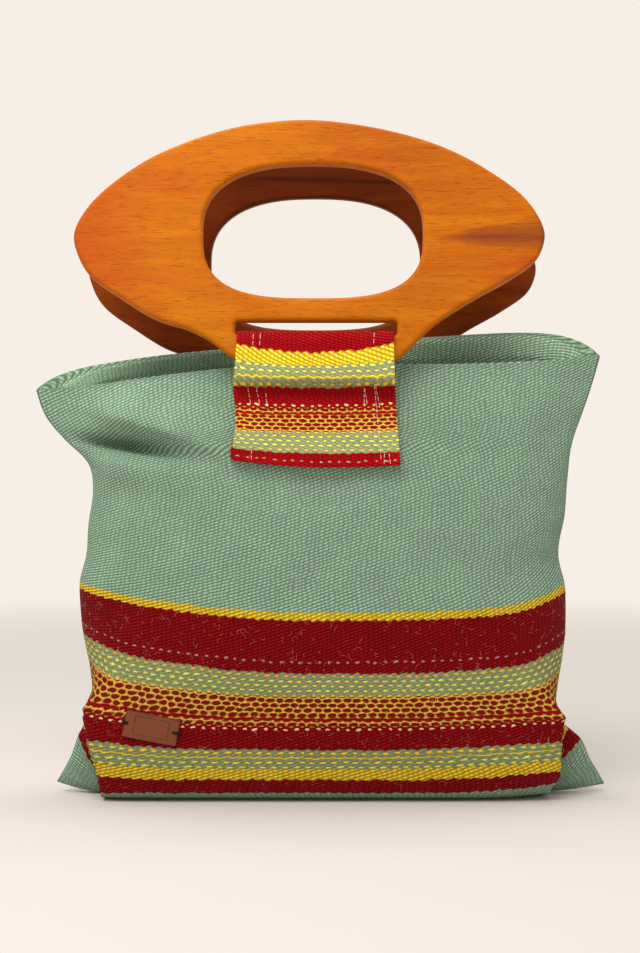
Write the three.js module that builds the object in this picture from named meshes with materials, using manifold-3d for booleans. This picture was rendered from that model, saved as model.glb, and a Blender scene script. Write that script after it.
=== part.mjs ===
// A woven cloth bag with two wooden handles, standing on its base.
// Millimetres, +Z up, +X to the right of the front face, -Y out of the front face.
import * as THREE from 'three';
import { mergeVertices } from 'three/addons/utils/BufferGeometryUtils.js';
import Module from 'manifold-3d';

const wasm = await Module();
wasm.setup();

// Driving dimensions of the cloth body
const bodyHeight = 263; // front rim over the floor, at the middle
const backRimRise = 15.5; // how much higher the back rim stands
const bodyHalfWidth = 176; // half the width of the flat cloth
const bellyDepth = 46; // seam plane to the fullest point of the front
const clothWall = 2.5;
const seamAllowance = 5; // solid cloth inside a pinched side seam
const mouthClearance = 30; // how far the cutting form of the hollow reaches over the rim

// Driving dimensions of the handles
const handleHalfLength = 143;
const handleThickness = 11;
const handleEdgeRadius = 2.6;
const barHeight = 25.5; // wood under the strap slot
const webHeight = 14; // wood between the slot and the hand hole
const holeHeight = 84;
const holeLength = 134;
const topBarHeight = 27.8; // wood over the hand hole
const slotFreeHeight = 5.8; // air left over the strap in its slot
const slotCornerRadius = 2.2;
const slotOffset = 2; // slot middle to the right of the hole middle

// Driving dimensions of the straps
const strapWidth = 94.6;
const strapThickness = 2.8;
const strapDrop = 54; // strap end under the lower edge of the handle
const strapGather = 8; // height in which the two strap layers close up under the handle

// Driving dimensions of the label
const labelWidth = 33;
const labelHeight = 16;
const labelThickness = 1.6;
const labelTurn = THREE.MathUtils.degToRad(-10.6);

// Placing of the pieces
const fit = 0.3; // gap between pieces that touch
const slotSideGap = 1.7; // strap edge to slot end
const frontHandle = { side: -1, x: -4.3, overlap: 7, lean: THREE.MathUtils.degToRad(8) };
const backHandle = { side: 1, x: -2.7, overlap: 36.5, lean: THREE.MathUtils.degToRad(2) };
const labelPlace = { x: -101, height: 46 };

// Sizes that follow from the driving dimensions
const slotLength = strapWidth + 2 * slotSideGap;
const slotHeight = strapThickness + fit + slotFreeHeight;
const handleHeight = barHeight + slotHeight + webHeight + holeHeight + topBarHeight;

// Sections of the body from the middle of the base up to the rim.
// z, d: height and depth of the front at the middle; zb, db: of the back, as shares of
// bodyHeight and bellyDepth. pinch: 0 is a round side, 1 a flat pinched seam.
// flat: share of the half width over which the section stays level.
const profileRows = [
  { z: 0, d: 0, zb: 0, db: 0, pinch: 0, flat: 0.55 },
  { z: 0, d: 0.3, zb: 0, db: 0.3, pinch: 0, flat: 0.55 },
  { z: 0, d: 0.57, zb: 0, db: 0.57, pinch: 0, flat: 0.55 },
  { z: 0.005, d: 0.73, zb: 0.005, db: 0.73, pinch: 0, flat: 0.5 },
  { z: 0.023, d: 0.85, zb: 0.023, db: 0.84, pinch: 0, flat: 0.4 },
  { z: 0.057, d: 0.925, zb: 0.057, db: 0.9, pinch: 0, flat: 0.25 },
  { z: 0.122, d: 0.985, zb: 0.122, db: 0.95, pinch: 0, flat: 0.1 },
  { z: 0.21, d: 1, zb: 0.21, db: 0.97, pinch: 0, flat: 0.1 },
  { z: 0.32, d: 0.99, zb: 0.32, db: 0.96, pinch: 0, flat: 0.1 },
  { z: 0.426, d: 0.965, zb: 0.426, db: 0.935, pinch: 0, flat: 0.1 },
  { z: 0.513, d: 0.93, zb: 0.515, db: 0.9, pinch: 0.05, flat: 0.1 },
  { z: 0.608, d: 0.89, zb: 0.612, db: 0.86, pinch: 0.1, flat: 0.1 },
  { z: 0.7, d: 0.835, zb: 0.712, db: 0.8, pinch: 0.2, flat: 0.1 },
  { z: 0.783, d: 0.77, zb: 0.806, db: 0.735, pinch: 0.35, flat: 0.1 },
  { z: 0.867, d: 0.695, zb: 0.9, db: 0.67, pinch: 0.55, flat: 0.1 },
  { z: 0.939, d: 0.622, zb: 0.966, db: 0.61, pinch: 0.8, flat: 0.1 },
  { z: 1, d: 0.587, zb: 1, db: 0.555, pinch: 1, flat: 0.1 },
];

// The two sides of the same sections. left, right: half width of the body, and earL, earR:
// how far the seam stands past it, as shares of bodyHalfWidth. liftL, liftR: rise of the
// section at the side, and seamL, seamR: further rise at the seam, as shares of bodyHeight.
const sideRows = [
  { left: 0.795, right: 0.84, earL: 0.135, earR: 0.165, liftL: 0, liftR: 0.004, seamL: 0.026, seamR: 0.017 },
  { left: 0.793, right: 0.842, earL: 0.11, earR: 0.135, liftL: 0.012, liftR: 0.018, seamL: 0.046, seamR: 0.037 },
  { left: 0.79, right: 0.844, earL: 0.09, earR: 0.11, liftL: 0.025, liftR: 0.034, seamL: 0.06, seamR: 0.044 },
  { left: 0.787, right: 0.847, earL: 0.075, earR: 0.085, liftL: 0.038, liftR: 0.045, seamL: 0.067, seamR: 0.056 },
  { left: 0.79, right: 0.853, earL: 0.055, earR: 0.06, liftL: 0.03, liftR: 0.04, seamL: 0.082, seamR: 0.066 },
  { left: 0.803, right: 0.858, earL: 0.035, earR: 0.016, liftL: 0.022, liftR: 0.031, seamL: 0.081, seamR: 0.068 },
  { left: 0.829, right: 0.861, earL: 0.008, earR: 0.004, liftL: 0.042, liftR: 0.027, seamL: 0.057, seamR: 0.066 },
  { left: 0.827, right: 0.861, earL: 0, earR: 0, liftL: 0.057, liftR: 0.023, seamL: 0.034, seamR: 0.05 },
  { left: 0.84, right: 0.864, earL: 0, earR: 0, liftL: 0.057, liftR: 0.027, seamL: 0.025, seamR: 0.038 },
  { left: 0.846, right: 0.864, earL: 0, earR: 0, liftL: 0.055, liftR: 0.03, seamL: 0.012, seamR: 0.03 },
  { left: 0.824, right: 0.841, earL: 0, earR: 0, liftL: 0.042, liftR: 0.028, seamL: 0.006, seamR: 0.028 },
  { left: 0.818, right: 0.864, earL: 0, earR: 0, liftL: 0.027, liftR: 0.025, seamL: 0, seamR: 0.025 },
  { left: 0.802, right: 0.874, earL: 0, earR: 0, liftL: 0.012, liftR: 0.022, seamL: 0, seamR: 0.018 },
  { left: 0.818, right: 0.89, earL: 0, earR: 0, liftL: -0.008, liftR: 0.02, seamL: 0, seamR: 0.012 },
  { left: 0.9, right: 0.93, earL: 0, earR: 0, liftL: -0.035, liftR: 0.022, seamL: 0, seamR: 0.01 },
  { left: 0.97, right: 0.965, earL: 0, earR: 0, liftL: -0.055, liftR: 0.023, seamL: 0.006, seamR: 0.01 },
  { left: 1.004, right: 0.99, earL: 0, earR: 0, liftL: -0.065, liftR: 0.023, seamL: 0.016, seamR: 0.008 },
];

// The back rim ends in blunt corners: its own rise at the sides and drop at the seams
const backRimSides = { liftL: -0.07, liftR: 0.032, powerL: 1.3, powerR: 0.8 };
const backRiseFrom = 0.6; // share of the height from which the back stands higher
const bluntPower = 11; // how squarely the back rim turns down at its corners

// Folds pressed into the front face. x, z: middle; along, across: half lengths;
// turn: degrees from level; depth: into the body, as shares of the body's sizes.
const frontFolds = [
  { x: -0.67, z: 0.802, along: 0.2, across: 0.026, turn: -6, depth: 0.26 },
  { x: -0.76, z: 0.873, along: 0.25, across: 0.04, turn: -12, depth: -0.12 },
  { x: 0.02, z: 0.742, along: 0.3, across: 0.035, turn: 0, depth: 0.05 },
  { x: -0.72, z: 0.46, along: 0.16, across: 0.07, turn: 20, depth: 0.07 },
  { x: 0.78, z: 0.83, along: 0.1, across: 0.1, turn: 60, depth: 0.07 },
  { x: 0.8, z: 0.56, along: 0.14, across: 0.05, turn: -15, depth: 0.09 },
];

// Powers of the section's rise towards its left and right side
const leftRisePower = 1.5;
const rightRisePower = 2.6;
const finStart = 0.74; // share of the half width where the pinched ear begins
const finPower = 1.6;
const earRows = 6; // sections from the base up that the ears belong to

// Squareness of a section's front: full and round where it is open, flat where pinched
const openSection = { power: 3, round: 0.4 };
const pinchedSection = { power: 2.4, round: 0.9 };

// Mesh steps of the cloth body
const bodyColumns = 26;
const seamCrowding = 0.7; // 0 spaces the columns evenly, 1 crowds them towards the seams
const sectionSamples = 160;
const fineFromRow = 12;
const fineStep = 1 / 3;

// A smooth curve through four values, from b at 0 to c at 1
const smooth = (a, b, c, d, t) => {
  const slopeIn = (c - a) / 2;
  const slopeOut = (d - b) / 2;
  const rise = b - c;
  return ((2 * rise + slopeIn + slopeOut) * t - 3 * rise - 2 * slopeIn - slopeOut) * t * t
    + slopeIn * t + b;
};

// A table's columns at a place between its rows
function rowAt(rows, place) {
  const last = rows.length - 1;
  const low = Math.min(Math.floor(place), last - 1);
  const at = (k) => rows[Math.max(0, Math.min(last, k))];
  const row = {};
  for (const key of Object.keys(rows[0])) {
    const [a, b, c, d] = [low - 1, low, low + 1, low + 2].map((k) => at(k)[key]);
    row[key] = smooth(a, b, c, d, place - low);
  }
  return row;
}

// How far the folds push the front face inwards at a place on it
function foldDepth(x, z) {
  let depth = 0;
  for (const fold of frontFolds) {
    const turn = THREE.MathUtils.degToRad(fold.turn);
    const dx = x - fold.x * bodyHalfWidth;
    const dz = z - fold.z * bodyHeight;
    const a = (dx * Math.cos(turn) + dz * Math.sin(turn)) / (fold.along * bodyHalfWidth);
    const b = (dz * Math.cos(turn) - dx * Math.sin(turn)) / (fold.across * bodyHeight);
    depth += fold.depth * bellyDepth * Math.exp(-a * a - b * b);
  }
  return depth;
}

// One section of the front (side -1) or back (side 1) as a list of points, left to right.
// inset is 0 on the outer face and the cloth's wall on the inner one.
function sectionCurve(place, side, inset) {
  const mid = rowAt(profileRows, place);
  const ends = rowAt(sideRows, place);
  const front = side < 0;
  const rimShare = front ? 0 : Math.max(0, place - (sideRows.length - 2));
  const rise = front ? 0 : backRimRise * Math.max(0, mid.zb - backRiseFrom) / (1 - backRiseFrom);
  const depth = Math.max(0, (front ? mid.d : mid.db) * bellyDepth - inset);
  const frontHeight = mid.z * bodyHeight + inset * (1 - mid.z);
  const height = (front ? mid.z : mid.zb) * bodyHeight + rise + inset * (1 - mid.z);
  const eared = Math.max(0, Math.min(1, 2 - (2 * place) / earRows));
  const sideWall = inset > 0 ? inset + seamAllowance * Math.max(mid.pinch, eared) : 0;
  const fin = inset > 0 ? 0 : 1;
  const power = THREE.MathUtils.lerp(openSection.power, pinchedSection.power, mid.pinch);
  const round = THREE.MathUtils.lerp(openSection.round, pinchedSection.round, mid.pinch);
  const points = [];
  for (let k = 0; k <= sectionSamples; k += 1) {
    const s = -Math.cos((Math.PI * k) / sectionSamples);
    const share = Math.abs(s);
    const left = s < 0;
    const half = (left ? ends.left : ends.right) * bodyHalfWidth - sideWall;
    const edge = Math.pow(Math.max(0, 1 - Math.pow(share, power)), round);
    const away = Math.max(0, (share - mid.flat) / (1 - mid.flat));
    const ramp = Math.pow(Math.max(0, (share - finStart) / (1 - finStart)), finPower);
    const seamLift = (left ? ends.liftL : ends.liftR) * bodyHeight;
    const rimLift = (left ? backRimSides.liftL : backRimSides.liftR) * bodyHeight;
    const sideLift = THREE.MathUtils.lerp(seamLift, rimLift, rimShare);
    const blunt = Math.pow(share, bluntPower) * (height - frontHeight + sideLift - seamLift);
    const ownRise = (left ? ends.seamL : ends.seamR) * bodyHeight * ramp * fin;
    const ear = (left ? ends.earL : ends.earR) * bodyHalfWidth * ramp * fin;
    const x = Math.sign(s) * (half * share + ear);
    const ownPower = left ? leftRisePower : rightRisePower;
    const rimPower = left ? backRimSides.powerL : backRimSides.powerR;
    const risePower = THREE.MathUtils.lerp(ownPower, rimPower, rimShare);
    const z = height + sideLift * Math.pow(away, risePower) + ownRise - blunt;
    const y = depth * edge - (front ? foldDepth(x, z) * Math.min(1, 2 * edge) : 0);
    points.push(new THREE.Vector3(x, side * Math.max(0, y), z));
  }
  return points;
}

// The same section, cut into columns of equal cloth width with closer ones at the seams
function sectionColumns(place, side, inset) {
  const curve = sectionCurve(place, side, inset);
  const run = [0];
  for (let k = 1; k < curve.length; k += 1) run.push(run[k - 1] + curve[k].distanceTo(curve[k - 1]));
  const total = run[run.length - 1];
  const points = [];
  let k = 1;
  for (let i = 0; i <= bodyColumns; i += 1) {
    const even = i / bodyColumns;
    const share = THREE.MathUtils.lerp(even, 0.5 - 0.5 * Math.cos(Math.PI * even), seamCrowding);
    while (k < run.length - 1 && run[k] < share * total) k += 1;
    const t = (share * total - run[k - 1]) / (run[k] - run[k - 1]);
    points.push(curve[k - 1].clone().lerp(curve[k], Math.min(1, t)));
  }
  return points;
}

// Places of the mesh rows, closer together where the wing's folds are
function rowPlaces() {
  const places = [];
  for (let k = 0; k < fineFromRow; k += 1) places.push(k);
  const fineSteps = Math.round((profileRows.length - 1 - fineFromRow) / fineStep);
  for (let k = 0; k <= fineSteps; k += 1) places.push(fineFromRow + k * fineStep);
  return places;
}

function toManifold(geometry) {
  const bare = geometry.clone();
  bare.deleteAttribute('normal');
  bare.deleteAttribute('uv');
  const merged = mergeVertices(bare, 1e-4);
  const index = merged.getIndex().array;
  const kept = [];
  for (let k = 0; k < index.length; k += 3) {
    const [a, b, c] = [index[k], index[k + 1], index[k + 2]];
    if (a !== b && b !== c && c !== a) kept.push(a, b, c);
  }
  return new wasm.Manifold(new wasm.Mesh({
    numProp: 3,
    vertProperties: new Float32Array(merged.getAttribute('position').array),
    triVerts: new Uint32Array(kept),
  }));
}

function fromManifold(solid) {
  const mesh = solid.getMesh();
  const geometry = new THREE.BufferGeometry();
  geometry.setAttribute('position', new THREE.BufferAttribute(new Float32Array(mesh.vertProperties), 3));
  geometry.setIndex(new THREE.BufferAttribute(new Uint32Array(mesh.triVerts), 1));
  geometry.computeVertexNormals();
  return geometry;
}

// A closed form from front and back rows that meet along the base and the side seams
function closedForm(frontRows, backRows) {
  const corners = [];
  const quad = (a, b, c, d) => corners.push(a, b, c, a, c, d);
  for (let j = 0; j + 1 < frontRows.length; j += 1) {
    for (let i = 0; i < bodyColumns; i += 1) {
      quad(frontRows[j][i], frontRows[j][i + 1], frontRows[j + 1][i + 1], frontRows[j + 1][i]);
      quad(backRows[j][i + 1], backRows[j][i], backRows[j + 1][i], backRows[j + 1][i + 1]);
    }
  }
  const frontTop = frontRows[frontRows.length - 1];
  const backTop = backRows[backRows.length - 1];
  for (let i = 0; i < bodyColumns; i += 1) {
    quad(frontTop[i], frontTop[i + 1], backTop[i + 1], backTop[i]);
  }
  return new THREE.BufferGeometry().setFromPoints(corners);
}

// The outer form of the cloth less its hollow, which runs out through the mouth
function clothBodyGeometry() {
  const places = rowPlaces();
  const rows = (side, inset) => places.map((place) => sectionColumns(place, side, inset));
  const hollowFront = rows(-1, clothWall);
  const hollowBack = rows(1, clothWall);
  const up = new THREE.Vector3(0, 0, mouthClearance);
  const lastRow = places.length - 1;
  hollowFront.push(hollowFront[lastRow].map((point) => point.clone().add(up)));
  hollowBack.push(hollowBack[lastRow].map((point) => point.clone().add(up)));
  const outer = toManifold(closedForm(rows(-1, 0), rows(1, 0)));
  const hollow = toManifold(closedForm(hollowFront, hollowBack));
  return fromManifold(outer.subtract(hollow));
}

// Height and depth of the front or back at its middle, for what lies on it
const middleSteps = 400;

function middleLine(side) {
  const line = [];
  for (let k = 0; k <= middleSteps; k += 1) {
    const place = ((profileRows.length - 1) * k) / middleSteps;
    const curve = sectionCurve(place, side, 0);
    const point = curve[sectionSamples / 2];
    line.push({ z: point.z, depth: Math.abs(point.y) });
  }
  return line;
}

function depthAt(line, z) {
  for (let k = line.length - 1; k > 0; k -= 1) {
    if (line[k - 1].z <= z) {
      const span = line[k].z - line[k - 1].z;
      const t = span > 0 ? Math.min(1, (z - line[k - 1].z) / span) : 0;
      return THREE.MathUtils.lerp(line[k - 1].depth, line[k].depth, t);
    }
  }
  return line[0].depth;
}

const lines = { '-1': middleLine(-1), 1: middleLine(1) };

// Where a handle's lower edge sits: its height, and its depth outside the cloth and strap
const seatSteps = 12;

function handleSeat(handle) {
  const line = lines[handle.side];
  const rim = line[line.length - 1].z;
  const height = rim - handle.overlap;
  let clear = 0;
  for (let k = 0; k <= seatSteps; k += 1) {
    const above = (handle.overlap * k) / seatSteps;
    clear = Math.max(clear, depthAt(line, height + above) + above * Math.tan(handle.lean));
  }
  return { height, depth: clear + 2 * fit + strapThickness + handleThickness / 2 };
}

// Handle outline, clockwise from the top. x as a share of handleHalfLength to the right
// of the hole's middle, h as a share of handleHeight over the lower edge.
const handleOutline = [
  { x: -0.01, h: 1 },
  { x: 0.15, h: 0.987 },
  { x: 0.352, h: 0.952 },
  { x: 0.557, h: 0.893 },
  { x: 0.75, h: 0.8 },
  { x: 0.903, h: 0.692 },
  { x: 0.975, h: 0.59 },
  { x: 0.985, h: 0.535 },
  { x: 0.95, h: 0.455 },
  { x: 0.825, h: 0.372 },
  { x: 0.688, h: 0.303 },
  { x: 0.526, h: 0.209 },
  { x: 0.455, h: 0.152 },
  { x: 0.364, h: 0.072 },
  { x: 0.26, h: 0.018 },
  { x: 0.12, h: 0 },
  { x: -0.11, h: 0 },
  { x: -0.235, h: 0.018 },
  { x: -0.335, h: 0.072 },
  { x: -0.437, h: 0.142 },
  { x: -0.52, h: 0.181 },
  { x: -0.667, h: 0.225 },
  { x: -0.803, h: 0.299 },
  { x: -0.948, h: 0.395 },
  { x: -1.0, h: 0.475 },
  { x: -1.015, h: 0.555 },
  { x: -0.942, h: 0.675 },
  { x: -0.735, h: 0.828 },
  { x: -0.53, h: 0.916 },
  { x: -0.33, h: 0.971 },
  { x: -0.15, h: 0.995 },
];
const outlineSteps = 76;
const holeSteps = 44;
const cornerSteps = 5;
const cornerReach = 0.48; // largest share of a side that a rounded corner takes
const clothSteps = 6; // steps of a strap down the cloth
const holeTopPower = 2.5;
const holeBottomPower = 3;

// A hand hole: an oval that is squarer along its lower edge
function handHolePath() {
  const middle = barHeight + slotHeight + webHeight + holeHeight / 2;
  const points = [];
  for (let k = 0; k < holeSteps; k += 1) {
    const angle = (2 * Math.PI * k) / holeSteps;
    const power = 2 / (Math.sin(angle) >= 0 ? holeTopPower : holeBottomPower);
    const across = Math.sign(Math.cos(angle)) * Math.pow(Math.abs(Math.cos(angle)), power);
    const up = Math.sign(Math.sin(angle)) * Math.pow(Math.abs(Math.sin(angle)), power);
    points.push(new THREE.Vector2((across * holeLength) / 2, middle + (up * holeHeight) / 2));
  }
  return new THREE.Path(points);
}

// Corner points with each corner turned into a short arc
function roundedPoints(corners, radius) {
  const points = [];
  corners.forEach((corner, k) => {
    const before = corners[(k + corners.length - 1) % corners.length];
    const after = corners[(k + 1) % corners.length];
    const room = cornerReach * Math.min(corner.distanceTo(before), corner.distanceTo(after));
    const reach = Math.min(radius, room);
    const from = corner.clone().add(before.clone().sub(corner).setLength(reach));
    const to = corner.clone().add(after.clone().sub(corner).setLength(reach));
    const arc = new THREE.QuadraticBezierCurve(from, corner, to);
    points.push(...arc.getPoints(cornerSteps));
  });
  return points;
}

function slotPath() {
  const left = slotOffset - slotLength / 2;
  const right = left + slotLength;
  const low = barHeight;
  const high = low + slotHeight;
  const corners = [[left, low], [right, low], [right, high], [left, high]];
  const vectors = corners.map(([x, y]) => new THREE.Vector2(x, y));
  return new THREE.Path(roundedPoints(vectors, slotCornerRadius));
}

function handleGeometry() {
  const knots = handleOutline.map(
    (row) => new THREE.Vector3(row.x * handleHalfLength, row.h * handleHeight, 0),
  );
  const curve = new THREE.CatmullRomCurve3(knots, true, 'centripetal');
  const outline = curve.getSpacedPoints(outlineSteps).slice(0, -1);
  const shape = new THREE.Shape(outline.map((point) => new THREE.Vector2(point.x, point.y)));
  shape.holes.push(handHolePath(), slotPath());
  return new THREE.ExtrudeGeometry(shape, {
    depth: handleThickness - 2 * handleEdgeRadius,
    bevelEnabled: true,
    bevelThickness: handleEdgeRadius,
    bevelSize: handleEdgeRadius,
    bevelOffset: -handleEdgeRadius,
    bevelSegments: 2,
  });
}

// A strap folded through the slot and round the bar, with both ends down on the cloth.
// Its side view is drawn as depth out of the seam plane and height over the floor.
function strapGeometry(handle) {
  const seat = handleSeat(handle);
  const line = lines[handle.side];
  const leaned = (out, up) => new THREE.Vector2(
    seat.depth + out * Math.cos(handle.lean) - up * Math.sin(handle.lean),
    seat.height + up * Math.cos(handle.lean) + out * Math.sin(handle.lean),
  );
  const inner = handleThickness / 2 + fit;
  const outer = inner + strapThickness;
  const top = barHeight + fit;
  const gathered = seat.height - strapGather;
  const onCloth = (z, layers) => new THREE.Vector2(depthAt(line, z) + fit + layers * strapThickness, z);
  const low = seat.height - strapDrop;
  const heights = Array.from({ length: clothSteps + 1 },
    (_, k) => THREE.MathUtils.lerp(gathered, low, k / clothSteps));
  const loopTop = [leaned(-outer, 0), leaned(-outer, top + strapThickness),
    leaned(outer, top + strapThickness), leaned(outer, 0)];
  const rounded = roundedPoints(loopTop, outer).slice(cornerSteps + 1, -cornerSteps - 1);
  const outside = [leaned(-outer, 0), ...rounded, leaned(outer, 0),
    ...heights.map((z) => onCloth(z, 2)), ...heights.reverse().map((z) => onCloth(z, 0))];
  const eye = [onCloth(gathered + strapThickness, 1), leaned(inner, 0), leaned(inner, top),
    leaned(-inner, top), leaned(-inner, 0)];
  const place = (point) => new THREE.Vector2(handle.side * point.x, point.y);
  const shape = new THREE.Shape(outside.map(place));
  shape.holes.push(new THREE.Path(roundedPoints(eye, handleEdgeRadius).map(place)));
  return new THREE.ExtrudeGeometry(shape, { depth: strapWidth, bevelEnabled: false });
}

// A leather plate that follows the front face, a gap's width in front of it
const labelColumns = 10;
const labelRows = 6;
const slopeStep = 1; // length over which the face's slope is taken

function labelGeometry() {
  const across = labelColumns;
  const up = labelRows;
  const face = (a, b) => {
    const x = labelPlace.x + a * Math.cos(labelTurn) - b * Math.sin(labelTurn);
    const z = labelPlace.height + a * Math.sin(labelTurn) + b * Math.cos(labelTurn);
    return new THREE.Vector3(x, -frontDepth(x, z), z);
  };
  const layer = (off) => {
    const grid = [];
    for (let j = 0; j <= up; j += 1) {
      for (let i = 0; i <= across; i += 1) {
        const a = labelWidth * (i / across - 0.5);
        const b = labelHeight * (j / up - 0.5);
        const point = face(a, b);
        const alongA = face(a + slopeStep, b).sub(point);
        const alongB = face(a, b + slopeStep).sub(point);
        grid.push(point.clone().addScaledVector(alongA.cross(alongB).normalize(), off));
      }
    }
    return grid;
  };
  const inner = layer(2 * fit);
  const outer = layer(2 * fit + labelThickness);
  const corners = [];
  const quad = (a, b, c, d) => corners.push(a, b, c, a, c, d);
  const at = (i, j) => j * (across + 1) + i;
  for (let j = 0; j < up; j += 1) {
    for (let i = 0; i < across; i += 1) {
      const [a, b, c, d] = [at(i, j), at(i + 1, j), at(i + 1, j + 1), at(i, j + 1)];
      quad(outer[a], outer[b], outer[c], outer[d]);
      quad(inner[b], inner[a], inner[d], inner[c]);
    }
  }
  for (let i = 0; i < across; i += 1) {
    quad(inner[at(i, 0)], inner[at(i + 1, 0)], outer[at(i + 1, 0)], outer[at(i, 0)]);
    quad(outer[at(i, up)], outer[at(i + 1, up)], inner[at(i + 1, up)], inner[at(i, up)]);
  }
  for (let j = 0; j < up; j += 1) {
    quad(outer[at(0, j)], outer[at(0, j + 1)], inner[at(0, j + 1)], inner[at(0, j)]);
    quad(inner[at(across, j)], inner[at(across, j + 1)], outer[at(across, j + 1)], outer[at(across, j)]);
  }
  return new THREE.BufferGeometry().setFromPoints(corners);
}

// Depth of the front face at a place on it, found between the sections
const searchPlaces = 320;
const searchFromRow = 3; // the base is left out
let frontCurves = null;

function frontDepth(x, z) {
  if (!frontCurves) {
    const rows = profileRows.length - 1 - searchFromRow;
    frontCurves = Array.from({ length: searchPlaces + 1 },
      (_, k) => sectionCurve(searchFromRow + (rows * k) / searchPlaces, -1, 0));
  }
  const crossing = (curve) => {
    const k = Math.max(1, curve.findIndex((point) => point.x >= x));
    const t = (x - curve[k - 1].x) / (curve[k].x - curve[k - 1].x);
    return curve[k - 1].clone().lerp(curve[k], t);
  };
  let low = crossing(frontCurves[0]);
  for (let k = 1; k <= searchPlaces; k += 1) {
    const high = crossing(frontCurves[k]);
    if (high.z >= z) return -THREE.MathUtils.lerp(low.y, high.y, (z - low.z) / (high.z - low.z));
    low = high;
  }
  return -low.y;
}

const finishes = {
  cloth: new THREE.MeshStandardMaterial({ color: 0x8fab8a, roughness: 0.95, metalness: 0 }),
  strap: new THREE.MeshStandardMaterial({ color: 0x92161c, roughness: 0.95, metalness: 0 }),
  wood: new THREE.MeshStandardMaterial({ color: 0xd56f24, roughness: 0.45, metalness: 0 }),
  leather: new THREE.MeshStandardMaterial({ color: 0x8b4a24, roughness: 0.6, metalness: 0 }),
};

function namedMesh(name, geometry, material) {
  const mesh = new THREE.Mesh(geometry, material.clone());
  mesh.name = name;
  return mesh;
}

// The handle's plate stands on its lower edge and leans towards the seam plane
function handleGroup(name, handle) {
  const seat = handleSeat(handle);
  const plate = namedMesh(name, handleGeometry(), finishes.wood);
  plate.rotation.x = Math.PI / 2;
  plate.position.y = handleThickness / 2 - handleEdgeRadius;
  const stand = new THREE.Group();
  stand.position.set(handle.x, handle.side * seat.depth, seat.height);
  stand.rotation.x = handle.side * handle.lean;
  stand.add(plate);
  return stand;
}

function strapMesh(name, handle) {
  const mesh = namedMesh(name, strapGeometry(handle), finishes.strap);
  const [along, up, across] = [[0, 1, 0], [0, 0, 1], [1, 0, 0]].map((v) => new THREE.Vector3(...v));
  mesh.setRotationFromMatrix(new THREE.Matrix4().makeBasis(along, up, across));
  mesh.position.x = handle.x + slotOffset - strapWidth / 2;
  return mesh;
}

const bag = new THREE.Group();
bag.add(namedMesh('cloth_body', clothBodyGeometry(), finishes.cloth));
bag.add(handleGroup('front_handle', frontHandle));
bag.add(handleGroup('back_handle', backHandle));
bag.add(strapMesh('front_strap', frontHandle));
bag.add(strapMesh('back_strap', backHandle));
bag.add(namedMesh('leather_label', labelGeometry(), finishes.leather));

// The origin lies under the middle of the whole bag, on the floor
bag.updateMatrixWorld(true);
const box = new THREE.Box3().setFromObject(bag, true);
const middle = box.getCenter(new THREE.Vector3());
bag.position.set(-middle.x, -middle.y, -box.min.z);

export default bag;
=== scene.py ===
# %% [markdown]
# # A handwoven cloth bag with wooden handles
#
# The bag is one piece of coarse wool cloth with a striped border, folded at the base and
# seamed at the sides. Two flat wooden handles hang in straps of the same cloth. The measured
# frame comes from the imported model, and this script gives it its cloth, wood, leather and
# thread. Sizes in the tables are in millimetres, and every mesh is made in metres.

import math
from contextlib import contextmanager

import bpy
import numpy as np
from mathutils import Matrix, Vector, noise
from mathutils.bvhtree import BVHTree


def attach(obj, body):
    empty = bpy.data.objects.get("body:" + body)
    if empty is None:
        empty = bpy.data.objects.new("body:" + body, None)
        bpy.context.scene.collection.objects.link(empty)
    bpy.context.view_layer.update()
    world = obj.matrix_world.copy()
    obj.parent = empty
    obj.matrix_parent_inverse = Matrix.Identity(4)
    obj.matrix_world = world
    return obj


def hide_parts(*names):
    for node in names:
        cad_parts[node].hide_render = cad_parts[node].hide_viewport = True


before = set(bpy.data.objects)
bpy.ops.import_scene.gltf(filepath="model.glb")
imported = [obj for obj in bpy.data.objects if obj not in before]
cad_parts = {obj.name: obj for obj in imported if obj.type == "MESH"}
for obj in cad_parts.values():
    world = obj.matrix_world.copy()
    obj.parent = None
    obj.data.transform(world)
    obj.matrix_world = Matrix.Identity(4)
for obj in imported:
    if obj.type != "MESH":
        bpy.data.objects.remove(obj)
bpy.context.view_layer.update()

# %% [markdown]
# ## Small helpers
#
# An operator acts on all that is selected, and the loaded frame leaves its nodes selected. So
# each piece starts from an empty selection, and one helper makes a piece the only active one.
# The mesh operators work in edit mode only, so a second helper goes in and comes out of it.

# %% Select, modify and smooth
MM = 0.001


def alone(piece):
    bpy.ops.object.select_all(action="DESELECT")
    piece.select_set(True)
    bpy.context.view_layer.objects.active = piece


@contextmanager
def edit_mode(piece):
    alone(piece)
    bpy.ops.object.mode_set(mode="EDIT")
    yield
    bpy.ops.object.mode_set(mode="OBJECT")


def apply_modifier(piece, kind, **settings):
    alone(piece)
    modifier = piece.modifiers.new(kind.title(), kind)
    for name, value in settings.items():
        setattr(modifier, name, value)
    bpy.ops.object.modifier_apply(modifier=modifier.name)


def smooth(piece, degrees=180):
    alone(piece)
    if degrees >= 180:
        bpy.ops.object.shade_smooth()
    else:
        bpy.ops.object.shade_smooth_by_angle(angle=math.radians(degrees))


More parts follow.
